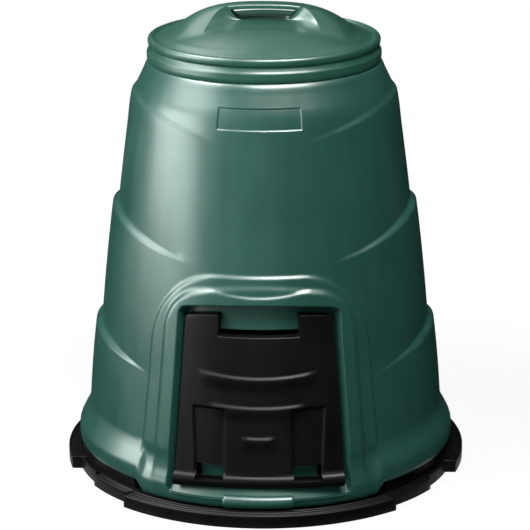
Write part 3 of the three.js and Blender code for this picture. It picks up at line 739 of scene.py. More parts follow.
@dataclass
class Surround:
    """Raised frame of two tiers round the hatch, worked out on the unrolled cone."""

    crest_half: float = 34.6
    crest_top: float = 387.0
    crest_rise: float = 11.0
    crest_corner: float = 85.0
    crest_proud: float = 8.0
    crest_slope: float = 13.0
    band_half: float = 40.2
    band_top: float = 414.0
    band_corner: float = 145.0
    band_proud: float = 5.0
    band_slope: float = 10.0
    dent_depth: float = 4.0
    dent_slope: float = 7.0
    dent_sag: float = 17.0
    dent_half_length: float = 116.0
    unrolled_radius: float = 322.5

    def depth(self, angle: Array, height: Array, half: float, top: Array | float, corner: float) -> Array:
        """Depth inside a round-cornered arch: least of the ways to its side and its top."""
        across = np.radians(half - np.abs(angle)) * self.unrolled_radius
        return rounded_least(across, top - height, corner)

    def swelling(self, angle: Array, height: Array) -> Array:
        """Height of the frame: a smooth step at each tier, less the dent in the middle of the arch.

        The dent is a lens between two parabolas: the crest's top, which rises in the middle, and
        one that sags below it.

        Args:
            angle: Angles from the front.
            height: Heights, broadcast with the angles.

        Returns:
            How far the frame stands out of the cone.
        """
        band = self.depth(angle, height, self.band_half, self.band_top, self.band_corner)
        along = np.radians(angle) * self.unrolled_radius / self.dent_half_length
        crest_top = self.crest_top + self.crest_rise * np.maximum(1 - along**2, 0.0)
        crest = self.depth(angle, height, self.crest_half, crest_top, self.crest_corner)
        into = height - self.crest_top + self.dent_sag * (1 - along**2)
        tier = self.crest_proud - self.dent_depth * smooth(into, 0.0, self.dent_slope)
        lower = self.band_proud * smooth(band, 0, self.band_slope)
        return lower + tier * smooth(crest, 0, self.crest_slope)


@dataclass
class Pocket:
    """Recess and clear opening behind the hatch."""

    face_half: float = 28.1
    back_half: float = 27.2
    opening_half: float = 24.4
    jamb: float = 0.1
    top_height: float = 360.0
    arch_rise: float = 12.0
    corner: float = 12.0
    depth: float = 18.3
    rim_depth: float = 30.0
    opening_top: float = 307.0
    trough_height: float = 15.2
    trough_front: float = 352.0
    shelf_back: float = 324.0
    rebate_foot: float = 338.3
    sill_edge: float = 370.0
    sill_edge_height: float = -10.0
    sill_lip: float = 4.0
    unrolled_radius: float = 338.0
    trough_radius: float = 4.0
    edge_radius: float = 3.0
    foot_radius: float = 2.5

    # heights from the arched top, and angles from the recess's side, over which rows join the arch
    joined_below: tuple[float, float] = (-60.0, -14.0)
    joined_above: tuple[float, float] = (8.0, 46.0)
    joined_beside: tuple[float, float] = (1.0, 14.0)

    @property
    def run(self) -> float:
        """Width that the side wall takes between its face and its back."""
        return math.radians(self.face_half - self.back_half) * self.unrolled_radius

    def share(self, depth: Array) -> Array:
        """Share of the recess's depth at a depth inside its outline.

        The wall is a straight slope with a round at its face and a smaller one at its back, read
        off a rounded path across it.

        Args:
            depth: Depths inside the outline, negative outside it.

        Returns:
            Numbers from 0 at the face to 1 at the back.
        """
        half, reach = self.run / 2, 4 * self.run
        corners = [(-reach, 0.0), (-half, 0.0), (half, self.rim_depth), (reach, self.rim_depth)]
        path = rounded_path(corners, [self.edge_radius, self.foot_radius], [1, 6, 1], 10)
        return np.interp(depth, path[:, 0], path[:, 1] / self.rim_depth)

    def inside(self, angle: Array, height: Array, above_sill: Array) -> Array:
        """Depth inside the recess's outline: least of the ways to its sides, arched top and sill.

        Args:
            angle: Angles from the front.
            height: Heights, broadcast with the angles.
            above_sill: Way up from the edge of the sill, along its profile.

        Returns:
            Depths, negative outside the outline.
        """
        middle = (self.face_half + self.back_half) / 2
        across = np.radians(middle - np.abs(angle)) * self.unrolled_radius
        down = self.top_height - self.run / 2 - self.arch_fall(angle) - height
        up = above_sill - self.sill_lip
        return np.minimum(rounded_least(across, down, self.corner), rounded_least(across, up, self.corner))

    def arch_fall(self, angle: Array) -> Array:
        """How far the arched top has fallen at an angle: the rise times a square."""
        return self.arch_rise * np.minimum(np.abs(angle) / self.face_half, 1.0) ** 2

    def row_fall(self, angle: Array, nominal: Array) -> Array:
        """How far a row falls with the arched top, fully near it and less by smooth steps away from it.

        Args:
            angle: Angles of the columns.
            nominal: Heights of the rows at the middle of the front, broadcast with the angles.

        Returns:
            Falls, columns by rows.
        """
        below, above = [self.top_height + np.array(span) for span in (self.joined_below, self.joined_above)]
        near = smooth(nominal, *below) * (1 - smooth(nominal, *above))
        past = 1 - smooth(np.abs(angle), *(self.face_half + np.array(self.joined_beside)))
        return self.arch_fall(angle) * near * past


@dataclass
class Drum:
    """Conical drum: one moulding with its foot roll, crescents, hatch surround, shoulder and neck."""

    finish: MouldedPolyethylene
    wall: float = 4.0
    seat: float = 45.0
    cone_foot: float = 347.0
    foot_swell: float = 23.0
    roll_height: float = 76.0
    flange_radius: float = 343.0
    shoulder_radius: float = 250.0
    shoulder_height: float = 695.0
    neck_radius: float = 212.0
    neck_base: float = 763.0
    neck_top: float = 793.0
    ledge: float = 13.0
    thin_ledge: float = 0.45
    decay_power: float = 1.6
    foot_drop: float = 19.0
    foot_blend: float = 4.0
    foot_split: float = 20.7
    foot_flat: float = 7.0
    foot_points: int = 15
    nose_radius: float = 13.0
    nose_centre: Corner = (363.5, -8.0)
    nose_half: float = 10.4
    tab_low: Corner = (329.7, 13.0)
    tab_high: Corner = (335.7, 52.0)
    tab_corner: float = 2.0
    tab_half: float = 4.05
    tab_middle: float = 14.85
    boss_circle: float = 350.5
    boss_radii: tuple[float, float] = (2.7, 7.5)
    boss_heights: tuple[float, float] = (0.3, 18.0)
    boss_wall: float = 1.0
    panel_half: float = 18.2
    panel_low: float = 674.0
    panel_high: float = 715.0
    panel_depth: float = 2.2
    panel_slope: float = 2.6
    band_top_row: float = 100.0
    crescents: tuple[Crescent, ...] = (
        Crescent(710.0, 84.0, 4.5, (14.0, 52.0), 1.0),
        Crescent(490.0, 70.0, 10.5, (22.0, 80.0)),
        Crescent(252.0, 70.0, 10.5, (42.0, 82.0)),
    )
    surround: Surround = field(default_factory=Surround)
    pocket: Pocket = field(default_factory=Pocket)

    # height as a share of roll_height, swelling as a share of foot_swell
    foot_shares = ((0, 0.72), (0.05, 0.93), (0.18, 1), (0.36, 0.96), (0.55, 0.72), (0.77, 0.31), (1, 0))
    # share of the surround's height that reaches each height of the foot roll
    surround_foot_shares = (0.1, 0.13, 0.16, 0.22, 0.36, 0.68, 1.0)
    # height and radius on the way from the shoulder to the neck
    shoulder_shares = ((0.18, 0.11), (0.36, 0.265), (0.6, 0.47), (0.84, 0.68), (0.92, 0.86), (1.0, 1.0))
    # share of the rows over the sill, and share of their way up from the split to the plain rows
    sill_row_shares = ((0.0, 0.35, 0.62, 1.0), (0.0, 0.12, 0.27, 1.0))

    def cone(self, height: Array) -> Array:
        """Radius of the plain cone, straight from its foot to the shoulder."""
        share = (height - self.roll_height) / (self.shoulder_height - self.roll_height)
        return blend(self.cone_foot, self.shoulder_radius, share)

    def plain_radius(self, height: Array) -> Array:
        """Radius of cone, shoulder and neck: one monotone curve through their stations.

        Args:
            height: Heights on the drum.

        Returns:
            Radii without the foot roll and the reliefs.
        """
        shoulder = self.shoulder_height
        rise, fall = self.neck_base - shoulder, self.neck_radius - self.shoulder_radius
        low = [self.roll_height, shoulder * 0.5, shoulder - rise, shoulder]
        knots = low + [shoulder + rise * up for up, _ in self.shoulder_shares]
        levels = [float(self.cone(h)) for h in low]
        levels += [self.shoulder_radius + fall * inward for _, inward in self.shoulder_shares]
        return monotone(height, knots + [self.neck_top], levels + [self.neck_radius])

    def crescent_swelling(self, angle: Array, height: Array) -> Array:
        """Swelling below the ledges: a smooth step at each ledge, fading by a power to the next one.

        Towards the front the step gets lower and its run shorter.

        Args:
            angle: Angles from the front.
            height: Heights, broadcast with the angles.

        Returns:
            How far the crescents stand out of the cone.
        """
        turn = np.abs(np.sin(np.radians(angle)))
        total = np.zeros(np.broadcast(angle, height).shape)
        for i, crescent in enumerate(self.crescents):
            top = crescent.ledge(angle)
            last = i + 1 == len(self.crescents)
            bottom = self.roll_height if last else self.crescents[i + 1].ledge(angle)
            down = np.clip((top - height) / (top - bottom), 0.0, 1.0)
            carried = smooth(turn, *np.sin(np.radians(crescent.fade)))
            run = self.ledge * blend(self.thin_ledge, 1.0, carried)
            step = crescent.proud * smooth((top - height) / run, 0.0, 1.0)
            total += step * (1 - down**self.decay_power) * carried
        return total

    def foot_fall(self, angle: Array) -> Array:
        """How far the foot reaches down under the surround."""
        half = self.surround.band_half
        return self.foot_drop * (1 - smooth(np.abs(angle), half - self.foot_blend, half))

    def outer_radius(self, angle: Array, height: Array) -> Array:
        """Radius of the outside, recess left out: plain body, foot roll and reliefs, less the panel.

        Args:
            angle: Angles from the front.
            height: Heights, broadcast with the angles.

        Returns:
            Radii of the outside.
        """
        above_foot = height + self.foot_fall(angle)
        knots = [up * self.roll_height for up, _ in self.foot_shares]
        swell = monotone(above_foot, knots, [out for _, out in self.foot_shares])
        carried = monotone(above_foot, knots, self.surround_foot_shares)
        across = (self.panel_half - np.abs(angle)) * math.radians(self.shoulder_radius)
        inside = np.minimum(across, np.minimum(height - self.panel_low, self.panel_high - height))
        panel = self.panel_depth * smooth(inside, 0.0, self.panel_slope)
        reliefs = self.crescent_swelling(angle, height) + self.surround.swelling(angle, height) * carried
        return self.plain_radius(height) + self.foot_swell * swell + reliefs - panel

    def columns(self) -> Array:
        """Angles of the columns, close together where the recess, the panel or the surround ends.

        Returns:
            Angles all the way round, from -180 on.
        """
        pocket = self.pocket
        wall = (pocket.back_half - 0.5, pocket.face_half + 0.5)
        jamb = (pocket.opening_half, pocket.opening_half + pocket.jamb)
        panel = (self.panel_half - 0.7, self.panel_half + 0.1)
        surround = (33.0, 42.0)
        half = stations(
            (0.0, panel[0], 1.3),
            (*panel, 0.16),
            (panel[1], jamb[0], 1.25),
            (*jamb, pocket.jamb),
            (jamb[1], wall[0], 0.8),
            (*wall, 0.11),
            (wall[1], surround[0], 0.6),
            (*surround, 0.36),
            (surround[1], 180.0, 4.2),
        )
        return mirrored(half)[:-1]

    def rows(self) -> tuple[Array, int, int]:
        """Nominal heights of the rows above the sill, and which of them bound the opening.

        Returns:
            Heights at the middle of the front, the index of the row at the top of the opening, and
            how many rows there are.
        """
        top, opening = self.pocket.top_height, self.pocket.opening_top
        upper, middle, lower = [crescent.front_height for crescent in self.crescents]
        panel_low, panel_high = self.panel_low, self.panel_high
        heights = stations(
            (self.band_top_row, lower - 18.0, 8.0),
            (lower - 18.0, lower + 2.0, 1.7),
            (lower + 2.0, opening - 17.0, 9.0),
            (opening - 17.0, opening, 6.0),
            (opening, top - 14.0, 5.5),
            (top - 14.0, top + 4.0, 1.2),
            (top + 4.0, middle - 17.0, 2.4),
            (middle - 17.0, middle + 3.0, 1.6),
            (middle + 3.0, upper - 14.0, 10.0),
            (upper - 14.0, upper + 2.0, 1.8),
            (upper + 2.0, panel_low - 6.0, 2.6),
            (panel_low - 6.0, panel_low - 1.0, 5.0),
            (panel_low - 1.0, panel_low + 4.0, 0.85),
            (panel_low + 4.0, panel_high - 4.0, 6.0),
            (panel_high - 4.0, panel_high + 1.0, 0.85),
            (panel_high + 1.0, self.neck_base, 3.2),
            (self.neck_base, self.neck_top, 6.0),
        )
        return heights, int(np.argmin(np.abs(heights - opening))), len(heights)

    def climbed(self, angle: Array, nominal: Array) -> Array:
        """Height of a row that follows the ledges round the drum and the arch over the recess.

        Outside the recess a row climbs by what the ledges nearest to it climb. Over the recess it
        falls with the arch instead.

        Args:
            angle: Angles of the columns.
            nominal: Heights of the rows at the middle of the front, broadcast with the angles.

        Returns:
            Heights, columns by rows.
        """
        still = np.zeros_like(angle)
        knots, climbs = [self.band_top_row], [still]
        beside = smooth(np.abs(angle), self.pocket.face_half - 2.0, self.pocket.face_half + 6.0)
        for crescent in reversed(self.crescents):
            level = crescent.front_height
            climb = (crescent.ledge(angle) - level) * beside
            knots += [level - self.ledge, level]
            climbs += [climb, climb]
        climb = shared_out(nominal, [*knots, self.neck_base], [*climbs, still])
        return nominal + climb - self.pocket.row_fall(angle, nominal)

    def foot_rows(self, angle: Array) -> tuple[Array, Array]:
        """Radius and height of the rows from the foot's inner edge round its roll to the split.

        A smooth curve passes through the flange and the lowest stations of the foot roll. What the
        surround adds to its end is added to its points by the square of their way out.

        Args:
            angle: Angles of the columns.

        Returns:
            Radius and height, columns by rows.
        """
        flat_end = (self.flange_radius + self.cone_foot) / 2 + self.foot_flat
        points = [(self.flange_radius, 0.0), (flat_end, 0.0)]
        for up, out in self.foot_shares[:3]:
            points.append((self.cone_foot + self.foot_swell * out, self.roll_height * up))
        level = self.foot_split - self.foot_drop
        end = self.outer_radius(np.array([90.0]), np.array([self.foot_split]))[0]
        curve = curve_through([*points, (end, self.foot_split)], self.foot_points)
        reach = (curve[:, 0] - self.flange_radius) / (end - self.flange_radius)
        grown = self.outer_radius(angle, level + self.foot_drop - self.foot_fall(angle)) - end
        radius = curve[None, :, 0] + grown * reach[None] ** 2
        return radius, curve[None, :, 1] - self.foot_fall(angle)

    def sill_rows(self) -> tuple[Array, Array, int]:
        """Profiles of the recess's floor, over the opening and beside it.

        Returns:
            The two profiles as radius and height, and the row where the opening begins.
        """
        pocket, legs, arc = self.pocket, [12, 4, 8], 5
        top = (float(self.cone(self.band_top_row)) - pocket.depth, self.band_top_row)
        edge = (pocket.sill_edge, pocket.sill_edge_height)
        trough = (pocket.trough_front, pocket.trough_height)
        over, beside = [
            rounded_path(
                [edge, trough, (back, pocket.trough_height), top],
                [pocket.trough_radius, pocket.foot_radius],
                legs,
                arc,
            )
            for back in (pocket.shelf_back, pocket.rebate_foot)
        ]
        return over, beside, legs[0] + arc + legs[1]

    def shell(self) -> bpy.types.Object:
        """Shell of the drum, with the recess pressed in and the opening left out of it.

        Every point is a straight mix of the outside and the recess's back, by the recess's share.

        Returns:
            The shell, with its wall.
        """
        pocket = self.pocket
        angles = self.columns()
        angle = angles[:, None]
        foot_radius, foot_height = self.foot_rows(angle)
        over, beside, first_open = self.sill_rows()
        at_opening = 1 - smooth(np.abs(angle), pocket.opening_half, pocket.opening_half + pocket.jamb)
        sill = blend(beside[None], over[None], at_opening[..., None])
        step = np.hypot(*np.diff(beside, axis=0).T)
        above_sill = np.concatenate([[0.0], np.cumsum(step)])
        level = self.foot_split - self.foot_fall(angle)
        climb = np.linspace(0.0, 1.0, len(over))[None]
        lower = level + (self.band_top_row - level) * monotone(climb, *self.sill_row_shares)
        nominal, opening_row, count = self.rows()
        upper = self.climbed(angle, nominal[None, 1:])
        height = np.hstack([lower, upper])
        radius = self.outer_radius(angle, height)
        back_height = np.hstack([sill[..., 1], upper])
        back_radius = np.hstack([sill[..., 0], self.cone(upper) - pocket.depth])
        way = np.concatenate([above_sill, np.full(count - 1, above_sill[-1])])[None]
        share = pocket.share(pocket.inside(angle, height, way))
        share = np.where(np.abs(angle) > pocket.face_half + 2, 0.0, share)
        radius, height = blend(radius, back_radius, share), blend(height, back_height, share)
        radius = np.hstack([foot_radius[:, :-1], radius])
        height = np.hstack([foot_height[:, :-1], height])
        keep = np.ones((len(angles), radius.shape[1] - 1), bool)
        start = foot_radius.shape[1] - 1
        middle = (angles + np.roll(angles, -1)) / 2
        clear = (np.abs(middle) < pocket.opening_half) & (np.abs(angles) < 90)
        keep[clear, start + first_open : start + len(over) - 1 + opening_row] = False
        made = surface("drum_shell", polar(angle, radius, height), self.seat, keep, round_columns=True)
        weld(made)
        thicken(made, self.wall)
        return made

    def nose(self) -> bpy.types.Object:
        """Rounded nose in the middle of the sill: a round section with tapered ends.

        Returns:
            The nose.
        """
        turn = np.radians(np.linspace(0.0, 360.0, 33)[:-1])
        circle = self.nose_radius * np.stack([np.cos(turn), np.sin(turn)], axis=1)
        angles, inset = bar_ends(self.nose_half, round_angle=0.9, deepest=0.3, middle_steps=20)
        return bar(
            "sill_nose", np.array(self.nose_centre) + circle, angles, inset, self.seat, self.nose_centre
        )

    def tabs(self) -> list[bpy.types.Object]:
        """Two upright tabs behind the hatch's windows: rounded rectangles carried round the axis.

        Returns:
            The left and the right tab.
        """
        low, high = self.tab_low, self.tab_high
        section = box_section(low, high, self.tab_corner)
        centre = ((low[0] + high[0]) / 2, (low[1] + high[1]) / 2)
        angles, inset = bar_ends(self.tab_half, round_angle=0.3, deepest=0.06, middle_steps=10)
        return [
            bar(f"hatch_tab_{name}", section, angles + side * self.tab_middle, inset, self.seat, centre)
            for side, name in ((-1, "left"), (1, "right"))
        ]

    def bosses(self, angles: Sequence[float]) -> list[bpy.types.Object]:
        """Round bosses inside the foot that take the screws: a rounded post at each screw.

        Args:
            angles: Angles of the screws.

        Returns:
            A boss for each screw.
        """
        (inner, outer), (low, high) = self.boss_radii, self.boss_heights
        corners = [(inner, low), (outer, low), (outer, high), (inner, high)]
        profile = rounded_path(corners, [0.4, 1.5], [2, 5, 2], 4)
        turn = np.linspace(0.0, 360.0, 29)[:-1]
        made = []
        for i, angle in enumerate(angles):
            centre = polar(angle, self.boss_circle, 0.0)
            shape = polar(turn[:, None], profile[None, :, 0], profile[None, :, 1]) + centre
            boss = surface(f"screw_boss_{i + 1}", shape, self.seat, round_columns=True)
            thicken(boss, self.boss_wall)
            made.append(boss)
        return made

    def build(self, screw_angles: Sequence[float]) -> None:
        """Make the drum's pieces and dress them in its plastic.

        Args:
            screw_angles: Angles of the screws that its bosses take.
        """
        material = self.finish.material()
        dress(self.shell(), material, Body.BIN, ["bin_body"])
        for piece in [self.nose(), *self.tabs(), *self.bosses(screw_angles)]:
            dress(piece, material, Body.BIN)


# Hatch


@dataclass
class Rib:
    """Smile-shaped rib of the hatch: its height rises as the square of the way to its end."""

    middle: float
    end_rise: float
    half: float

    def line(self, angle: Array) -> Array:
        """Height of the rib's upper edge."""
        return self.middle + self.end_rise * np.minimum((angle / self.half) ** 2, 1.0)


@dataclass
class Hatch:
    """Tilting hatch: a flanged panel on the drum's cone, with a rolled foot in place of a hinge."""

    finish: MouldedPolyethylene
    drum: Drum
    thickness: float = 3.5
    proud: float = 2.0
    half: float = 26.6
    top: float = 341.0
    arch_rise: float = 10.0
    corner: float = 9.0
    flange: float = 19.6
    edge_round: float = 2.2
    roll_radius: float = 12.5
    roll_centre: Corner = (349.5, 28.0)
    roll_turns: tuple[float, float] = (-198.0, 64.0)
    roll_end_growth: float = 2.5
    roll_end_reach: float = 14.0
    roll_end_turn: float = 41.0
    notch_half: float = 14.1
    notch_floor: float = 298.0
    notch_round: float = 3.5
    channel_inner: float = 10.2
    channel_outer: tuple[float, float] = (20.2, 22.0)
    channel_slope: float = 0.9
    channel_depth: float = 5.0
    channel_top: float = 167.0
    channel_top_slope: float = 7.0
    window: tuple[float, float] = (10.6, 19.4)
    window_heights: tuple[float, float] = (30.0, 56.0)
    rib_proud: float = 4.0
    rib_ledge: float = 8.0
    rib_fade: float = 34.0
    top_zone: float = 236.0
    ribs: tuple[Rib, ...] = (Rib(227.0, 11.0, 21.4), Rib(172.0, 5.5, 16.8), Rib(115.0, 2.0, 5.6))
    unrolled_radius: float = 335.0

    def angle_of(self, length: float) -> float:
        """Angle that a length spans at the hatch."""
        return math.degrees(length / self.unrolled_radius)

    def top_edge(self, angle: Array) -> Array:
        """Height of the top edge: arch, rounded corners and the finger notch with rounded steps.

        The arch falls by a square. Every round is a quarter circle: its radius less the root of one
        less the square of the way into it.

        Args:
            angle: Angles from the front.

        Returns:
            Heights of the edge.
        """
        turn = np.abs(angle)
        corner, step = self.angle_of(self.corner), self.angle_of(self.notch_round)
        into = np.clip((turn - self.half + corner) / corner, 0.0, 1.0)
        arch = self.top - self.arch_rise * (turn / self.half) ** 2
        arch = arch - self.corner * (1 - np.sqrt(1 - into**2))
        inner = np.clip((turn - self.notch_half + step) / step, 0.0, 1.0)
        floor = self.notch_floor + self.notch_round * (1 - np.sqrt(1 - inner**2))
        outer = np.clip((self.notch_half + step - turn) / step, 0.0, 1.0)
        edge = arch - self.notch_round * (1 - np.sqrt(1 - outer**2))
        return np.where(turn <= self.notch_half, floor, edge)

    def relief(self, angle: Array, height: Array) -> Array:
        """Height of the ribs above the panel, less the depth of the two channels, all by smooth steps.

        Args:
            angle: Angles from the front.
            height: Heights, broadcast with the angles.

        Returns:
            How far the face stands out of the panel.
        """
        total = np.zeros(np.broadcast(angle, height).shape)
        for rib in self.ribs:
            below = rib.line(angle) - height
            along = 1 - smooth(np.abs(angle), rib.half * 0.7, rib.half)
            edge = smooth(below, 0, self.rib_ledge) * (1 - smooth(below, self.rib_ledge, self.rib_fade))
            total += self.rib_proud * along * edge
        turn, slope, inner = np.abs(angle), self.channel_slope, self.channel_inner
        window_top = self.window_heights[1]
        climb = np.clip((height - window_top) / (self.channel_top - window_top), 0.0, 1.0)
        to_outer = (blend(*self.channel_outer, climb) - turn) / slope
        sides = smooth(turn, inner, inner + slope) * smooth(to_outer, 0.0, 1.0)
        upward = 1 - smooth(height, self.channel_top - self.channel_top_slope, self.channel_top)
        return total - self.channel_depth * sides * upward

    def edge_profile(self) -> tuple[Array, Array]:
        """Section of the edge, a quarter circle and then a straight flange.

        Returns:
            Way in from the edge, and depth below the panel.
        """
        turn = np.radians(np.linspace(0.0, 90.0, 6))
        way = self.edge_round * (1 - np.sin(turn))
        depth = self.edge_round * (1 - np.cos(turn))
        down = np.linspace(self.edge_round, self.flange, 5)[1:]
        return np.concatenate([way, np.zeros(len(down))]), np.concatenate([depth, down])

    def columns(self) -> tuple[Array, Array]:
        """Columns from one flange over the panel to the other.

        Returns:
            Angle of each column, and its depth below the panel.
        """
        way, depth = self.edge_profile()
        edge = self.half - np.degrees(way / self.unrolled_radius)
        corner, step = self.angle_of(self.corner), self.angle_of(self.notch_round)
        inner, slope = self.channel_inner, self.channel_slope
        lower, upper = self.channel_outer
        arc = np.sin(np.radians(np.linspace(0.0, 90.0, 8)))
        side = self.notch_half
        notch = np.concatenate([side - step + step * arc, [side + 0.01], side + step - step * arc])
        rounded = self.half - corner + corner * arc[:6]
        flat = stations(
            (0.0, inner, 1.0),
            (inner, inner + slope, 0.13),
            (inner + slope, lower - slope, 0.9),
            (lower - slope, upper, 0.13),
            (upper, self.half - corner, 0.9),
        )
        flat = np.unique(np.round(np.concatenate([flat, notch, rounded, self.window]), 5))
        flat = flat[flat < edge[0] - 0.02]
        angles = np.concatenate([-edge[::-1], -flat[::-1], flat[1:], edge])
        return angles, np.concatenate([depth[::-1], np.zeros(2 * len(flat) - 1), depth])

    def panel_rows(self) -> Array:
        """Nominal heights of the panel's rows, close together at ribs and at the channels' tops.

        Returns:
            Heights at the middle of the hatch, from the roll up to the rounded top edge.
        """
        low = self.roll_centre[1] + self.roll_radius * math.sin(math.radians(self.roll_turns[1]))
        upper, middle, lower = [rib.middle for rib in self.ribs]
        ledge = self.rib_ledge + 1.0
        window_top, channel_end = self.window_heights[1], self.channel_top - self.channel_top_slope - 1
        return stations(
            (low, window_top, 4.0),
            (window_top, lower - ledge, 5.5),
            (lower - ledge, lower + 1, 0.9),
            (lower + 1, channel_end, 6.0),
            (channel_end, middle + 1, 0.9),
            (middle + 1, upper - ledge, 5.5),
            (upper - ledge, upper + 1, 0.9),
            (upper + 1, self.top_zone, 4.0),
            (self.top_zone, self.top - self.edge_round, 7.0),
        )[1:]

    def row_height(self, angle: Array, nominal: Array) -> Array:
        """Height of a row that follows the ribs below and the top edge above.

        Between two ribs the climb is shared out straight. Above the ribs the rows are spread evenly
        up to the top edge.

        Args:
            angle: Angles of the columns.
            nominal: Heights of the rows at the middle of the hatch, broadcast with the angles.

        Returns:
            Heights, columns by rows.
        """
        upper, middle, lower = self.ribs
        still = np.zeros_like(angle)
        high, mid, low = [rib.line(angle) - rib.middle for rib in self.ribs]
        knots = [self.window_heights[1], lower.middle, self.channel_top, middle.middle, upper.middle]
        climbs = [still, low, still, mid, high, high]
        climbed = nominal + shared_out(nominal, [*knots, self.top_zone], climbs)
        start = self.top_zone + high
        way = np.clip((nominal - self.top_zone) / (self.top - self.edge_round - self.top_zone), 0.0, 1.0)
        end = self.top_edge(angle) - self.edge_round
        return np.where(nominal > self.top_zone, start + (end - start) * way, climbed)

    def sheet(self) -> bpy.types.Object:
        """Sheet of the hatch: rolled foot, panel with its reliefs, rounded edges and flanges.

        The roll is straighter than the drum: towards its ends it stands out, thickens and turns
        further back, each by the square of the angle.

        Returns:
            The sheet, with its thickness and with its two windows open.
        """
        angles, sunk = self.columns()
        angle, sunk = angles[:, None], sunk[:, None]
        window_low, window_top = self.window_heights
        window_turn = math.degrees(math.asin((window_low - self.roll_centre[1]) / self.roll_radius))
        turns = stations(
            (self.roll_turns[0], window_turn, 9.0), (window_turn, self.roll_turns[1], 6.0)
        )
        outward = (angle / self.half) ** 2
        past_window = np.maximum(turns - window_turn, 0.0) / (self.roll_turns[1] - window_turn)
        turn = np.radians(turns[None] + self.roll_end_turn * past_window[None] * outward)
        rolled = self.roll_radius + self.roll_end_growth * outward
        roll_radius = self.roll_centre[0] + self.roll_end_reach * outward + rolled * np.cos(turn)
        roll_height = self.roll_centre[1] + rolled * np.sin(turn)
        narrower = (self.roll_centre[0] + self.roll_radius) / (
            self.roll_centre[0] + self.roll_end_reach * outward + rolled
        )
        roll_angle = np.degrees(np.arcsin(np.sin(np.radians(angle)) * narrower))
        nominal = self.panel_rows()[None]
        height = self.row_height(angle, nominal)
        taper = smooth(height, self.roll_centre[1] + self.roll_radius, window_top)
        face = self.drum.cone(height) + self.proud + self.relief(angle, height)
        radius = face - sunk * taper
        way, depth = self.edge_profile()
        rim_height = self.top_edge(angle) - way[None, 1:]
        rim_face = self.drum.cone(rim_height) + self.proud + self.relief(angle, rim_height)
        rim_radius = rim_face - np.maximum(sunk, depth[None, 1:])
        radius = np.hstack([roll_radius, radius, rim_radius])
        height = np.hstack([roll_height, height, rim_height])
        rolls = roll_radius.shape[1]
        around = np.where(np.arange(radius.shape[1])[None] < rolls, roll_angle, angle)
        middle = np.abs((angles[1:] + angles[:-1]) / 2)[:, None]
        row = np.arange(radius.shape[1] - 1)[None]
        first = int(np.argmin(np.abs(turns - window_turn)))
        last = len(turns) + int(np.argmin(np.abs(nominal[0] - window_top)))
        clear = (middle > self.window[0]) & (middle < self.window[1]) & (row >= first) & (row < last)
        made = surface("hatch_panel", polar(around, radius, height), self.drum.seat, ~clear)
        weld(made)
        thicken(made, self.thickness)
        return made

    def build(self) -> None:
        """Make the hatch and dress it in its plastic."""
        dress(self.sheet(), self.finish.material(), Body.HATCH, ["hatch"])


# Lid


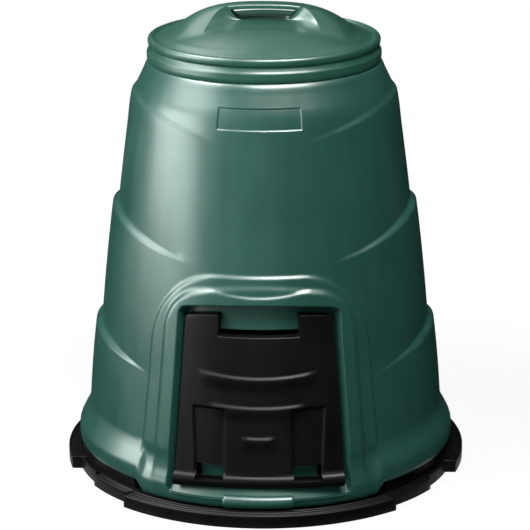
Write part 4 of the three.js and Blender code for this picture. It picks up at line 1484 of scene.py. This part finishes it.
@dataclass
class Lid:
    """Lift-off lid: skirt with two beads, dome, and a raised grip with a scoop on either side."""

    finish: MouldedPolyethylene
    seat: float
    wall: float = 3.5
    skirt_depth: float = 36.0
    outer_radius: float = 224.0
    groove_radius: float = 207.0
    groove_height: float = 3.8
    dome_radius: float = 182.0
    dome_edge: float = 14.0
    dome_height: float = 42.0
    dome_power: float = 2.4
    hump_height: float = 29.0
    hump_half_length: float = 171.0
    hump_half_width: float = 96.0
    scoop_half_length: float = 68.0
    scoop_spread: float = 47.0
    scoop_power: float = 0.5
    scoop_sink: float = 1.2
    scoop_slope: float = 28.0
    bar_half_width: float = 18.0
    bar_thickness: float = 9.0
    bar_round: float = 2.8
    well_depth: float = 7.0
    well_half_width: float = 23.0
    well_slope: float = 6.0
    patch: Corner = (140.0, 100.0)
    ring_points: int = 15
    rim_points: int = 66

    # share of the way from the groove to the outer radius, then height as a share of skirt_depth
    rim_shares = (
        (0.12, 0.13), (0.4, 0.235), (0.7, 0.2), (0.88, 0.05), (0.84, -0.12), (0.68, -0.25),
        (0.8, -0.4), (1.0, -0.58), (1.0, -0.8), (0.92, -1.0),
    )

    def dome(self, radius: Array) -> Array:
        """Height of the plain dome: a power of the radius, then a smooth step down to the groove.

        Args:
            radius: Distances from the axis.

        Returns:
            Heights above the neck.
        """
        share = np.minimum(radius / self.dome_radius, 1.0)
        crown = self.dome_height - (self.dome_height - self.dome_edge) * share**self.dome_power
        return blend(crown, self.groove_height, smooth(radius, self.dome_radius, self.groove_radius))

    def hump(self, x: Array, y: Array) -> Array:
        """Height of the raised grip: a fourth power along X times a squared parabola along Y.

        Args:
            x: Places along the grip.
            y: Places across it.

        Returns:
            Heights above the dome.
        """
        along = 1 - np.minimum(np.abs(x) / self.hump_half_length, 1.0) ** 4
        across = (1 - np.minimum(np.abs(y) / self.hump_half_width, 1.0) ** 2) ** 2
        return self.hump_height * along * across

    def top(self, x: Array, y: Array) -> Array:
        """Height of the upper surface, scoops left out."""
        return self.dome(np.hypot(x, y)) + self.hump(x, y)

    def scoop_half(self, y: Array) -> Array:
        """Half length of a scoop at a distance from the bar, opening like a fan."""
        share = (np.abs(y) - self.bar_half_width) / (self.hump_half_width - self.bar_half_width)
        return self.scoop_half_length + self.scoop_spread * np.clip(share, 0.0, 1.0) ** self.scoop_power

    def pressed(self, x: Array, y: Array) -> Array:
        """Height of the upper surface with the scoops and the finger well pressed in.

        Inside a scoop's outline the grip gives way to the dome, a little sunk. The side of a scoop
        is hollow: what is left of its height is the square of what is left of its run. The well
        is an ellipse under the bar, deeper by a smooth step.

        Args:
            x: Places along the grip.
            y: Places across it.

        Returns:
            Heights above the neck.
        """
        left = 1 - (self.scoop_half(y) - np.abs(x)) / self.scoop_slope
        share = 1 - np.clip(left, 0.0, 1.0) ** 2
        side = self.hump_half_width
        sink = self.scoop_sink * (1 - smooth(np.abs(y), side - 22, side - 2))
        reach = np.hypot(x / self.scoop_half_length, y / self.well_half_width)
        into = smooth((1 - reach) * self.well_half_width, 0.0, self.well_slope)
        well = (self.well_depth - self.scoop_sink) * into
        floor = self.dome(np.hypot(x, y)) - sink - well
        return blend(self.top(x, y), floor, share)

    def patch_grid(self) -> tuple[Array, Array]:
        """Plan of the middle patch, whose columns follow the edges of the scoops.

        Returns:
            X and Y of a grid of columns by rows.
        """
        half_x, half_y = self.patch
        edge, near, halfway, bar_edge = 90.0, 8.0, 40.0, self.bar_half_width
        columns = mirrored(
            stations(
                (0.0, halfway, 4.5),
                (halfway, edge - 6, 1.5),
                (edge - 6, edge + 2, 0.5),
                (edge + 2, half_x, 4.0),
            )
        )
        rows = mirrored(
            stations(
                (0.0, bar_edge, 2.0),
                (bar_edge, bar_edge + 8, 0.9),
                (bar_edge + 8, halfway, 2.0),
                (halfway, half_y, 4.0),
            )
        )
        y = np.broadcast_to(rows[None], (len(columns), len(rows)))
        side = self.scoop_half(y)
        turn = np.abs(columns)[:, None]
        inner = turn * (side - near) / (edge - near)
        outer = side + near + (turn - edge - near) * (half_x - side - near) / (half_x - edge - near)
        x = np.where(turn < edge - near, inner, np.where(turn > edge + near, outer, side + turn - edge))
        return np.sign(columns)[:, None] * x, y

    def shell(self) -> bpy.types.Object:
        """Shell of the lid: the middle patch, rings out to the groove, then the rim's profile.

        A ring is a straight mix of the patch's outline and the groove's circle.

        Returns:
            The shell, with its wall.
        """
        x, y = self.patch_grid()
        middle = np.stack([x, y, self.pressed(x, y)], axis=-1)
        top = surface("lid_shell", middle, self.seat)
        loop = np.vstack([middle[:-1, 0], middle[-1, :-1], middle[:0:-1, -1], middle[0, :0:-1]])
        plan = loop[:, :2]
        turn = np.arctan2(plan[:, 1], plan[:, 0])
        spoke = np.stack([np.cos(turn), np.sin(turn)], axis=1)
        circle = self.groove_radius * spoke
        share = np.linspace(0.0, 1.0, self.ring_points)[None, :, None]
        ring = plan[:, None] + (circle - plan)[:, None] * share
        ring_height = self.pressed(ring[..., 0], ring[..., 1])
        rings = np.concatenate([ring, ring_height[..., None]], axis=-1)
        out, up = np.array(self.rim_shares).T
        radii = self.groove_radius + (self.outer_radius - self.groove_radius) * out
        lead_in = self.groove_radius - 4.0
        points = [(lead_in, float(self.dome(np.array(lead_in))))]
        points += [(self.groove_radius, self.groove_height), *zip(radii, up * self.skirt_depth)]
        profile = curve_through(points, self.rim_points)
        profile = profile[profile[:, 0] > self.groove_radius + 0.3]
        rim_height = np.broadcast_to(profile[None, :, 1:], (len(turn), len(profile), 1))
        rim = np.concatenate([spoke[:, None] * profile[None, :, :1], rim_height], axis=-1)
        outward = np.concatenate([rings, rim], axis=1)[::-1]
        skirt = surface("lid_rim", outward, self.seat, round_columns=True)
        shape = bmesh.new()
        shape.from_mesh(top.data)
        shape.from_mesh(skirt.data)
        shape.to_mesh(top.data)
        shape.free()
        bpy.data.objects.remove(skirt)
        weld(top)
        thicken(top, self.wall)
        return top

    def grip_bar(self) -> bpy.types.Object:
        """Grip bar: a rounded rectangle carried across the well, its top flush with the raised grip.

        Returns:
            The bar, closed, its ends inside the grip.
        """
        embed, sunk = 4.5, 0.05
        low, high = (-self.bar_half_width, 0.0), (self.bar_half_width, self.bar_thickness)
        section = box_section(low, high, self.bar_round, legs=(6, 3))
        end = self.scoop_half_length + embed
        x = np.linspace(-end, end, 44)[:, None]
        y = section[None, :, 0] + 0 * x
        z = self.top(x, y) - sunk - section[None, :, 1]
        points = np.stack([x + 0 * y, y, z], axis=-1)
        made = surface("lid_grip_bar", points, self.seat, round_rows=True, capped=True)
        weld(made, outward=True)
        return made

    def build(self) -> None:
        """Make the lid's pieces and dress them in its plastic."""
        material = self.finish.material()
        dress(self.shell(), material, Body.LID, ["lid"])
        dress(self.grip_bar(), material, Body.LID)


# Base plate


@dataclass
class BasePlate:
    """Thin moulded plate that carries the drum, with a stepped rim and drain holes in its floor."""

    finish: MouldedPolyethylene
    wall: float = 3.6
    side_radius: float = 392.8
    front_radius: float = 400.0
    notch_radius: float = 382.0
    deep_notch_radius: float = 374.0
    front_half: float = 40.0
    deep_notch_angle: float = 58.0
    notch_angle: float = 72.0
    step: float = 1.2
    rim_height: float = 22.0
    bead: float = 2.5
    ring_outer: float = 363.0
    ring_inner: float = 338.0
    ring_foot: float = 1.6
    ring_rounds: tuple[float, float] = (1.4, 1.5)
    ring_draft: tuple[float, float] = (0.4, 2.4)
    ring_height: float = 44.7
    front_drop: float = 19.0
    ring_step_half: float = 40.6
    floor: float = 4.0
    rib_height: float = 1.3
    rib_width: float = 3.4
    rib_count: int = 3
    drain_shares: tuple[float, ...] = (0.355, 0.65, 0.888)
    drain_counts: tuple[int, ...] = (6, 10, 14)
    drain_radius: float = 6.0
    web_count: int = 16
    web_thickness: float = 3.0
    web_rise: float = 4.0
    web_bevel: float = 0.5

    def rim_radius(self, angle: Array) -> Array:
        """Outer radius: proud at the hatch, notched in two steps beside it, then the plain side.

        Args:
            angle: Angles from the front.

        Returns:
            Radii of the rim.
        """
        turn = np.abs(angle)
        radius = np.full_like(turn, self.front_radius, dtype=float)
        for start, level in (
            (self.front_half, self.notch_radius),
            (self.deep_notch_angle, self.deep_notch_radius),
            (self.notch_angle, self.side_radius),
        ):
            radius = blend(radius, level, smooth(turn, start, start + self.step))
        return radius

    def ring_top(self, angle: Array) -> Array:
        """Height of the ring that carries the drum, lower under the surround."""
        low = 1 - smooth(np.abs(angle), self.ring_step_half, self.ring_step_half + self.step)
        return self.ring_height - self.front_drop * low

    def columns(self) -> Array:
        """Angles of the columns, close together at the steps of the rim and of the ring.

        Returns:
            Angles all the way round, from -180 on.
        """
        front, deep, plain = self.front_half, self.deep_notch_angle, self.notch_angle
        front_end, deep_end, plain_end = [start + self.step for start in (self.ring_step_half, deep, plain)]
        half = stations(
            (0.0, front, 1.6),
            (front, front_end, 0.12),
            (front_end, deep, 1.6),
            (deep, deep_end, 0.15),
            (deep_end, plain, 1.6),
            (plain, plain_end, 0.15),
            (plain_end, 180.0, 1.8),
        )
        return mirrored(half)[:-1]

    def rim(self) -> bpy.types.Object:
        """Rim, ribbed top and carrying ring, as one sheet.

        The outer wall ends in a half-round bead. The top between bead and ring has low concentric
        ribs, each a raised cosine. Its width is shared out between the rim's radius and the ring.
        The section of the ring is drawn at one height and scaled to the ring's at each angle.

        Returns:
            The sheet, with its wall.
        """
        angle = self.columns()[:, None]
        rim, ring_top = self.rim_radius(angle), self.ring_top(angle)
        turn = np.radians(np.linspace(0.0, 180.0, 13))[None]
        wall_height = np.linspace(0.0, self.rim_height - 0.5, 6)[None, :-1]
        bead_radius = rim - self.bead + self.bead * np.cos(turn)
        bead_height = self.rim_height - 0.1 + self.bead * np.sin(turn) + 0 * angle
        share = np.linspace(0.0, 1.0, 58)[None, 1:]
        start, end = rim - 2 * self.bead, self.ring_outer + self.ring_foot
        top_radius = start + (end - start) * share
        width = self.side_radius - 2 * self.bead - end
        centres = (np.arange(self.rib_count) + 0.7) / (self.rib_count + 0.4)
        away = np.abs(share[..., None] - centres) * width / (self.rib_width / 2)
        ribs = self.rib_height * np.sum(np.cos(np.minimum(away, 1.0) * math.pi / 2) ** 2, axis=-1)
        drawn = 100.0
        corners = [(end, 0.0), (self.ring_outer, 0.0), (self.ring_outer, drawn), (self.ring_inner, drawn)]
        over = rounded_path(corners, self.ring_rounds, [1, 6, 6], 4)[1:]
        over_height = self.rim_height + (ring_top - self.rim_height) * over[None, :, 1] / drawn
        top_draft, foot_draft = self.ring_draft
        inner_radius = np.linspace(self.ring_inner - top_draft, self.ring_inner - foot_draft, 9)[None, 1:]
        inner_height = ring_top - (ring_top - self.floor) * np.linspace(0.0, 1.0, 9)[None, 1:]
        flat = 0 * angle
        radius = np.hstack(
            [rim + 0 * wall_height, bead_radius, top_radius, over[None, :, 0] + flat, inner_radius + flat]
        )
        height = np.hstack(
            [wall_height + flat, bead_height, self.rim_height + ribs + flat, over_height, inner_height]
        )
        made = surface("plate_rim", polar(angle, radius, height), round_columns=True)
        weld(made)
        thicken(made, self.wall)
        return made

    def drain_cutter(self) -> bpy.types.Object:
        """Round pins that stand where the drain holes are: three rings of them, evenly spaced.

        Returns:
            One object with all the pins.
        """
        clear = 3.0
        turn = np.linspace(0.0, 360.0, 25)[:-1, None]
        pin = polar(turn, self.drain_radius, np.array([[-clear, self.floor + clear]]))
        centres = [
            polar(np.arange(count) * 360.0 / count, self.ring_inner * share, 0.0)
            for share, count in zip(self.drain_shares, self.drain_counts)
        ]
        points = np.concatenate(centres)[:, None, None] + pin
        index = np.arange(points[..., 0].size).reshape(points.shape[:-1])
        after = np.roll(index, -1, axis=1)
        sides = np.stack([index[..., 0], after[..., 0], after[..., 1], index[..., 1]], axis=-1)
        faces = [*index[:, ::-1, 0].tolist(), *index[..., 1].tolist(), *sides.reshape(-1, 4).tolist()]
        mesh = bpy.data.meshes.new("drain_cutter")
        mesh.from_pydata((points.reshape(-1, 3) * METRE).tolist(), [], faces)
        return linked("drain_cutter", mesh)

    def floor_disc(self) -> bpy.types.Object:
        """Floor of the plate: a disc with a rounded lower edge and its drain holes cut through.

        Returns:
            The disc.
        """
        angle = np.linspace(0.0, 360.0, 181)[:-1, None]
        edge, foot = self.ring_inner - 1.2, 0.4
        corners = [(0.0, foot), (edge, foot), (edge, self.floor), (0.0, self.floor)]
        radius, height = rounded_path(corners, [0.8, 0.4], [5, 2, 5], 3).T
        disc = surface("plate_floor", polar(angle, radius[None], height[None]), round_columns=True)
        weld(disc, outward=True)
        cutter = self.drain_cutter()
        cut = disc.modifiers.new("drains", "BOOLEAN")
        cut.operation = "DIFFERENCE"
        cut.solver = "EXACT"
        cut.object = cutter
        settle(disc)
        bpy.data.objects.remove(cutter)
        return disc

    def webs(self) -> bpy.types.Object:
        """Webs under the rim that stiffen it: thin upright plates, like the spokes of a wheel.

        Returns:
            One object with all the webs.
        """
        shape = bmesh.new()
        for i in range(self.web_count):
            angle = (i + 0.5) * 360.0 / self.web_count
            turn = angle if angle <= 180 else angle - 360
            last = float(self.rim_radius(np.array(turn))) - self.wall / 2
            first = self.ring_inner + self.wall / 2
            size = (self.web_thickness, last - first, self.rim_height - self.wall / 2 - self.web_rise)
            middle = Vector((0.0, -(first + last) / 2, self.web_rise + size[2] / 2)) * METRE
            place = Matrix.Rotation(math.radians(angle), 4, "Z") @ Matrix.Translation(middle)
            scale = Matrix.Diagonal([s * METRE for s in size] + [1.0])
            bmesh.ops.create_cube(shape, size=1.0, matrix=place @ scale)
        bevel = self.web_bevel * METRE
        bmesh.ops.bevel(shape, geom=shape.edges[:], offset=bevel, segments=2, affect="EDGES")
        mesh = bpy.data.meshes.new("plate_webs")
        shape.to_mesh(mesh)
        shape.free()
        return linked("plate_webs", mesh)

    def build(self) -> None:
        """Make the plate's pieces and dress them in its plastic."""
        material = self.finish.material()
        dress(self.rim(), material, Body.BIN, ["base_plate"])
        for piece in (self.floor_disc(), self.webs()):
            dress(piece, material, Body.BIN)


@dataclass
class Screws:
    """Screws that hold the plate to the drum, kept from the frame and given their plating."""

    finish: ZincPlatedSteel
    prefix: str = "base_screw_"

    def build(self) -> None:
        """Put the plating on every screw."""
        material = self.finish.material()
        for name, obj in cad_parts.items():
            if name.startswith(self.prefix):
                obj.data.materials.clear()
                obj.data.materials.append(material)
                log.info("%s: zinc plating", name)


# Studio


class LightUse(Enum):
    """What a softbox is there for: to light surfaces, or to show in their gloss."""

    DIFFUSE = "diffuse"
    GLOSS = "gloss"


@dataclass
class Softbox:
    """Rectangular light that faces the bin.

    Args:
        name: Name of the light.
        angle: Angle round the axis, in degrees from the front.
        distance: Distance from the axis, in metres.
        height: Height of its centre, in metres.
        size: Width and height, in metres.
        power: Power in watts.
        aim: Height that it faces, in metres.
        use: Whether it lights surfaces or shows in their gloss.
    """

    name: str
    angle: float
    distance: float
    height: float
    size: tuple[float, float]
    power: float
    aim: float
    use: LightUse

    def build(self) -> None:
        """Place the light and turn it towards the bin."""
        data = bpy.data.lights.new(self.name, "AREA")
        data.shape = "RECTANGLE"
        data.size, data.size_y = self.size
        data.energy = self.power
        light = linked(self.name, data)
        light.visible_diffuse = self.use is LightUse.DIFFUSE
        light.visible_glossy = self.use is LightUse.GLOSS
        turn = math.radians(self.angle)
        light.location = (self.distance * math.sin(turn), -self.distance * math.cos(turn), self.height)
        target = Vector((0.0, 0.0, self.aim))
        light.rotation_euler = (target - light.location).to_track_quat("-Z", "Y").to_euler()


@dataclass
class Studio:
    """White studio: pale floor, softboxes and the camera at the photograph's angle."""

    camera_azimuth: float = 2.2
    camera_distance: float = 4.534
    camera_height: float = 1.8129
    camera_pitch: float = 0.30495
    camera_roll: float = -0.215
    lens: float = 164.73
    sensor: float = 36.0
    ambient: float = 0.15
    floor_radius: float = 2.0
    floor_colour: str = "#8C8C8C"
    floor_glow: float = 0.84
    fade_start: float = 0.6
    card_foot: float = 0.41
    card_radius: float = 1.7
    card_gap: float = 0.002
    card_height: float = 2.2
    card_angles: tuple[float, float] = (14.0, 250.0)
    card_colour: str = "#0A0A0A"
    softboxes: tuple[Softbox, ...] = (
        Softbox("key", -66.0, 2.3, 1.7, (2.4, 1.5), 44.0, 0.7, LightUse.DIFFUSE),
        Softbox("key_sheen", -71.0, 2.3, 0.82, (1.8, 0.8), 142.0, 0.8, LightUse.GLOSS),
        Softbox("high_sheen", -69.0, 2.3, 2.1, (1.9, 1.2), 165.0, 0.8, LightUse.GLOSS),
        Softbox("ledge_sheen", -82.0, 1.4, 2.7, (1.3, 0.7), 260.0, 0.6, LightUse.GLOSS),
        Softbox("top", 14.0, 1.5, 2.7, (1.2, 1.0), 36.0, 0.8, LightUse.DIFFUSE),
        Softbox("top_sheen", 24.0, 1.15, 2.85, (1.6, 0.9), 520.0, 0.7, LightUse.GLOSS),
        Softbox("lid_sheen", -130.0, 1.6, 2.6, (2.0, 1.2), 45.0, 0.85, LightUse.GLOSS),
    )

    def camera(self) -> None:
        """Camera that looks down on the bin from the front, with a slight roll."""
        data = bpy.data.cameras.new("camera")
        data.lens, data.sensor_width = self.lens, self.sensor
        camera = linked("camera", data)
        turn, away = math.radians(self.camera_azimuth), self.camera_distance
        place = Vector((away * math.sin(turn), -away * math.cos(turn), self.camera_height))
        pose = Matrix.Rotation(turn, 4, "Z") @ Matrix.Rotation(math.pi / 2 - self.camera_pitch, 4, "X")
        pose = pose @ Matrix.Rotation(math.radians(self.camera_roll), 4, "Z")
        camera.matrix_world = Matrix.Translation(place) @ pose
        bpy.context.scene.camera = camera

    def seen_directly(self, tree: bpy.types.NodeTree) -> bpy.types.NodeSocket:
        """Whether a ray comes from the camera or was reflected or transmitted: the greatest of three.

        Args:
            tree: Node tree that gets the nodes.

        Returns:
            Socket that is 1 for such rays and 0 for all others.
        """
        path = add_node(tree, "ShaderNodeLightPath")
        seen = path.outputs["Is Camera Ray"]
        for kind in ("Is Glossy Ray", "Is Transmission Ray"):
            either = {0: seen, 1: path.outputs[kind]}
            seen = add_node(tree, "ShaderNodeMath", either, operation="MAXIMUM").outputs[0]
        return seen

    def world(self) -> None:
        """White backdrop for what looks at it, and a low even light for everything else."""
        world = bpy.data.worlds.new("studio")
        tree = emptied(world)
        seen, unseen = (
            add_node(tree, "ShaderNodeBackground", {"Color": WHITE, "Strength": strength})
            for strength in (1.0, self.ambient)
        )
        mix = add_node(
            tree,
            "ShaderNodeMixShader",
            {0: self.seen_directly(tree), 1: unseen.outputs[0], 2: seen.outputs[0]},
        )
        add_node(tree, "ShaderNodeOutputWorld", {"Surface": mix.outputs[0]})
        bpy.context.scene.world = world

    def floor(self) -> None:
        """Round pale floor that takes the bin's shadow and fades into the white backdrop.

        It glows towards the camera, a little near the bin and fully at its edge, by a smooth step of
        the distance from the middle.
        """
        angle = np.linspace(0.0, 360.0, 97)[:-1, None]
        radius = np.array([[0.0, 600.0, 1200.0, self.floor_radius / METRE]])
        floor = surface("studio_floor", polar(angle, radius, 0.0), round_columns=True)
        weld(floor)
        material = bpy.data.materials.new("studio_floor")
        tree = emptied(material)
        place = add_node(tree, "ShaderNodeTexCoord").outputs["Object"]
        away = add_node(tree, "ShaderNodeVectorMath", {0: place}, operation="LENGTH")
        fade = add_node(
            tree,
            "ShaderNodeMapRange",
            {
                "Value": away.outputs["Value"],
                "From Min": self.fade_start,
                "From Max": self.floor_radius * 0.9,
                "To Min": self.floor_glow,
                "To Max": 1.0,
            },
            interpolation_type="SMOOTHSTEP",
        )
        paint = add_node(tree, "ShaderNodeBsdfDiffuse", {"Color": linear(self.floor_colour)})
        glow = add_node(tree, "ShaderNodeEmission", {"Color": WHITE, "Strength": fade.outputs["Result"]})
        both = add_node(tree, "ShaderNodeAddShader", {0: paint.outputs[0], 1: glow.outputs[0]})
        mix = add_node(
            tree,
            "ShaderNodeMixShader",
            {0: self.seen_directly(tree), 1: paint.outputs[0], 2: both.outputs[0]},
        )
        add_node(tree, "ShaderNodeOutputMaterial", {"Surface": mix.outputs[0]})
        floor.data.materials.append(material)

    def black_cards(self) -> None:
        """Black cards on the floor and round the back, which give glossy pieces a dark edge.

        They stand out of the picture as such cards do in a studio, so they show in gloss alone.
        """
        material = bpy.data.materials.new("black_card")
        tree = emptied(material)
        paint = add_node(tree, "ShaderNodeBsdfDiffuse", {"Color": linear(self.card_colour)})
        add_node(tree, "ShaderNodeOutputMaterial", {"Surface": paint.outputs[0]})
        first, last = self.card_angles
        inner, outer, low, high = self.card_foot, self.card_radius, self.card_gap, self.card_height
        cards = (("floor_card", last - 360.0, inner, low), ("back_card", first, outer, high))
        for name, start, near, top in cards:
            angle = np.linspace(start, last, 73)[:, None]
            radius = np.array([[near, outer]]) / METRE
            card = surface(name, polar(angle, radius, np.array([[low, top]]) / METRE))
            card.visible_camera = card.visible_diffuse = card.visible_shadow = False
            card.data.materials.append(material)

    def build(self) -> None:
        """Set up the floor, the backdrop, the lights and the camera."""
        bpy.context.scene.view_settings.view_transform = "Standard"
        self.camera()
        self.world()
        self.floor()
        self.black_cards()
        for softbox in self.softboxes:
            softbox.build()


GREEN = MouldedPolyethylene("green_polyethylene", "#2B5F54", "#2F665A", 0.33)
LID_GREEN = MouldedPolyethylene("lid_green_polyethylene", "#2D6253", "#316859", 0.33)
BLACK = MouldedPolyethylene(
    "black_polyethylene",
    "#121112",
    "#181718",
    0.4,
    grain_size=1.8,
    grain_height=0.05,
    wave_height=0.15,
    specular_level=0.05,
)
PLATE_BLACK = MouldedPolyethylene(
    "plate_black_polyethylene", "#0B0B0C", "#101011", 0.45, grain_height=0.05, specular_level=0.05
)
ZINC = ZincPlatedSteel("zinc_plated_steel", "#B9BCBF", "#8E9296")
SCREW_ANGLES = (-58.0, 58.0, -140.0, 140.0)


def corners(box: tuple[Vector, Vector]) -> list[list[float]]:
    """Two corners of a box as plain lists of numbers."""
    return [[float(number) for number in corner] for corner in box]


def main() -> None:
    """Build every sub-assembly and the studio."""
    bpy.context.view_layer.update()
    builders: list[tuple[str, Callable[[], None]]] = []
    drum = Drum(GREEN)
    builders.append(("studio", Studio().build))
    builders.append(("drum", lambda: drum.build(SCREW_ANGLES)))
    builders.append(("hatch", Hatch(BLACK, drum).build))
    builders.append(("lid", Lid(LID_GREEN, drum.seat + drum.neck_top).build))
    builders.append(("base plate", BasePlate(PLATE_BLACK).build))
    builders.append(("screws", Screws(ZINC).build))
    for name, build in builders:
        log.info("building the %s", name)
        build()
    bpy.context.view_layer.update()


if __name__ == "__main__":
    main()
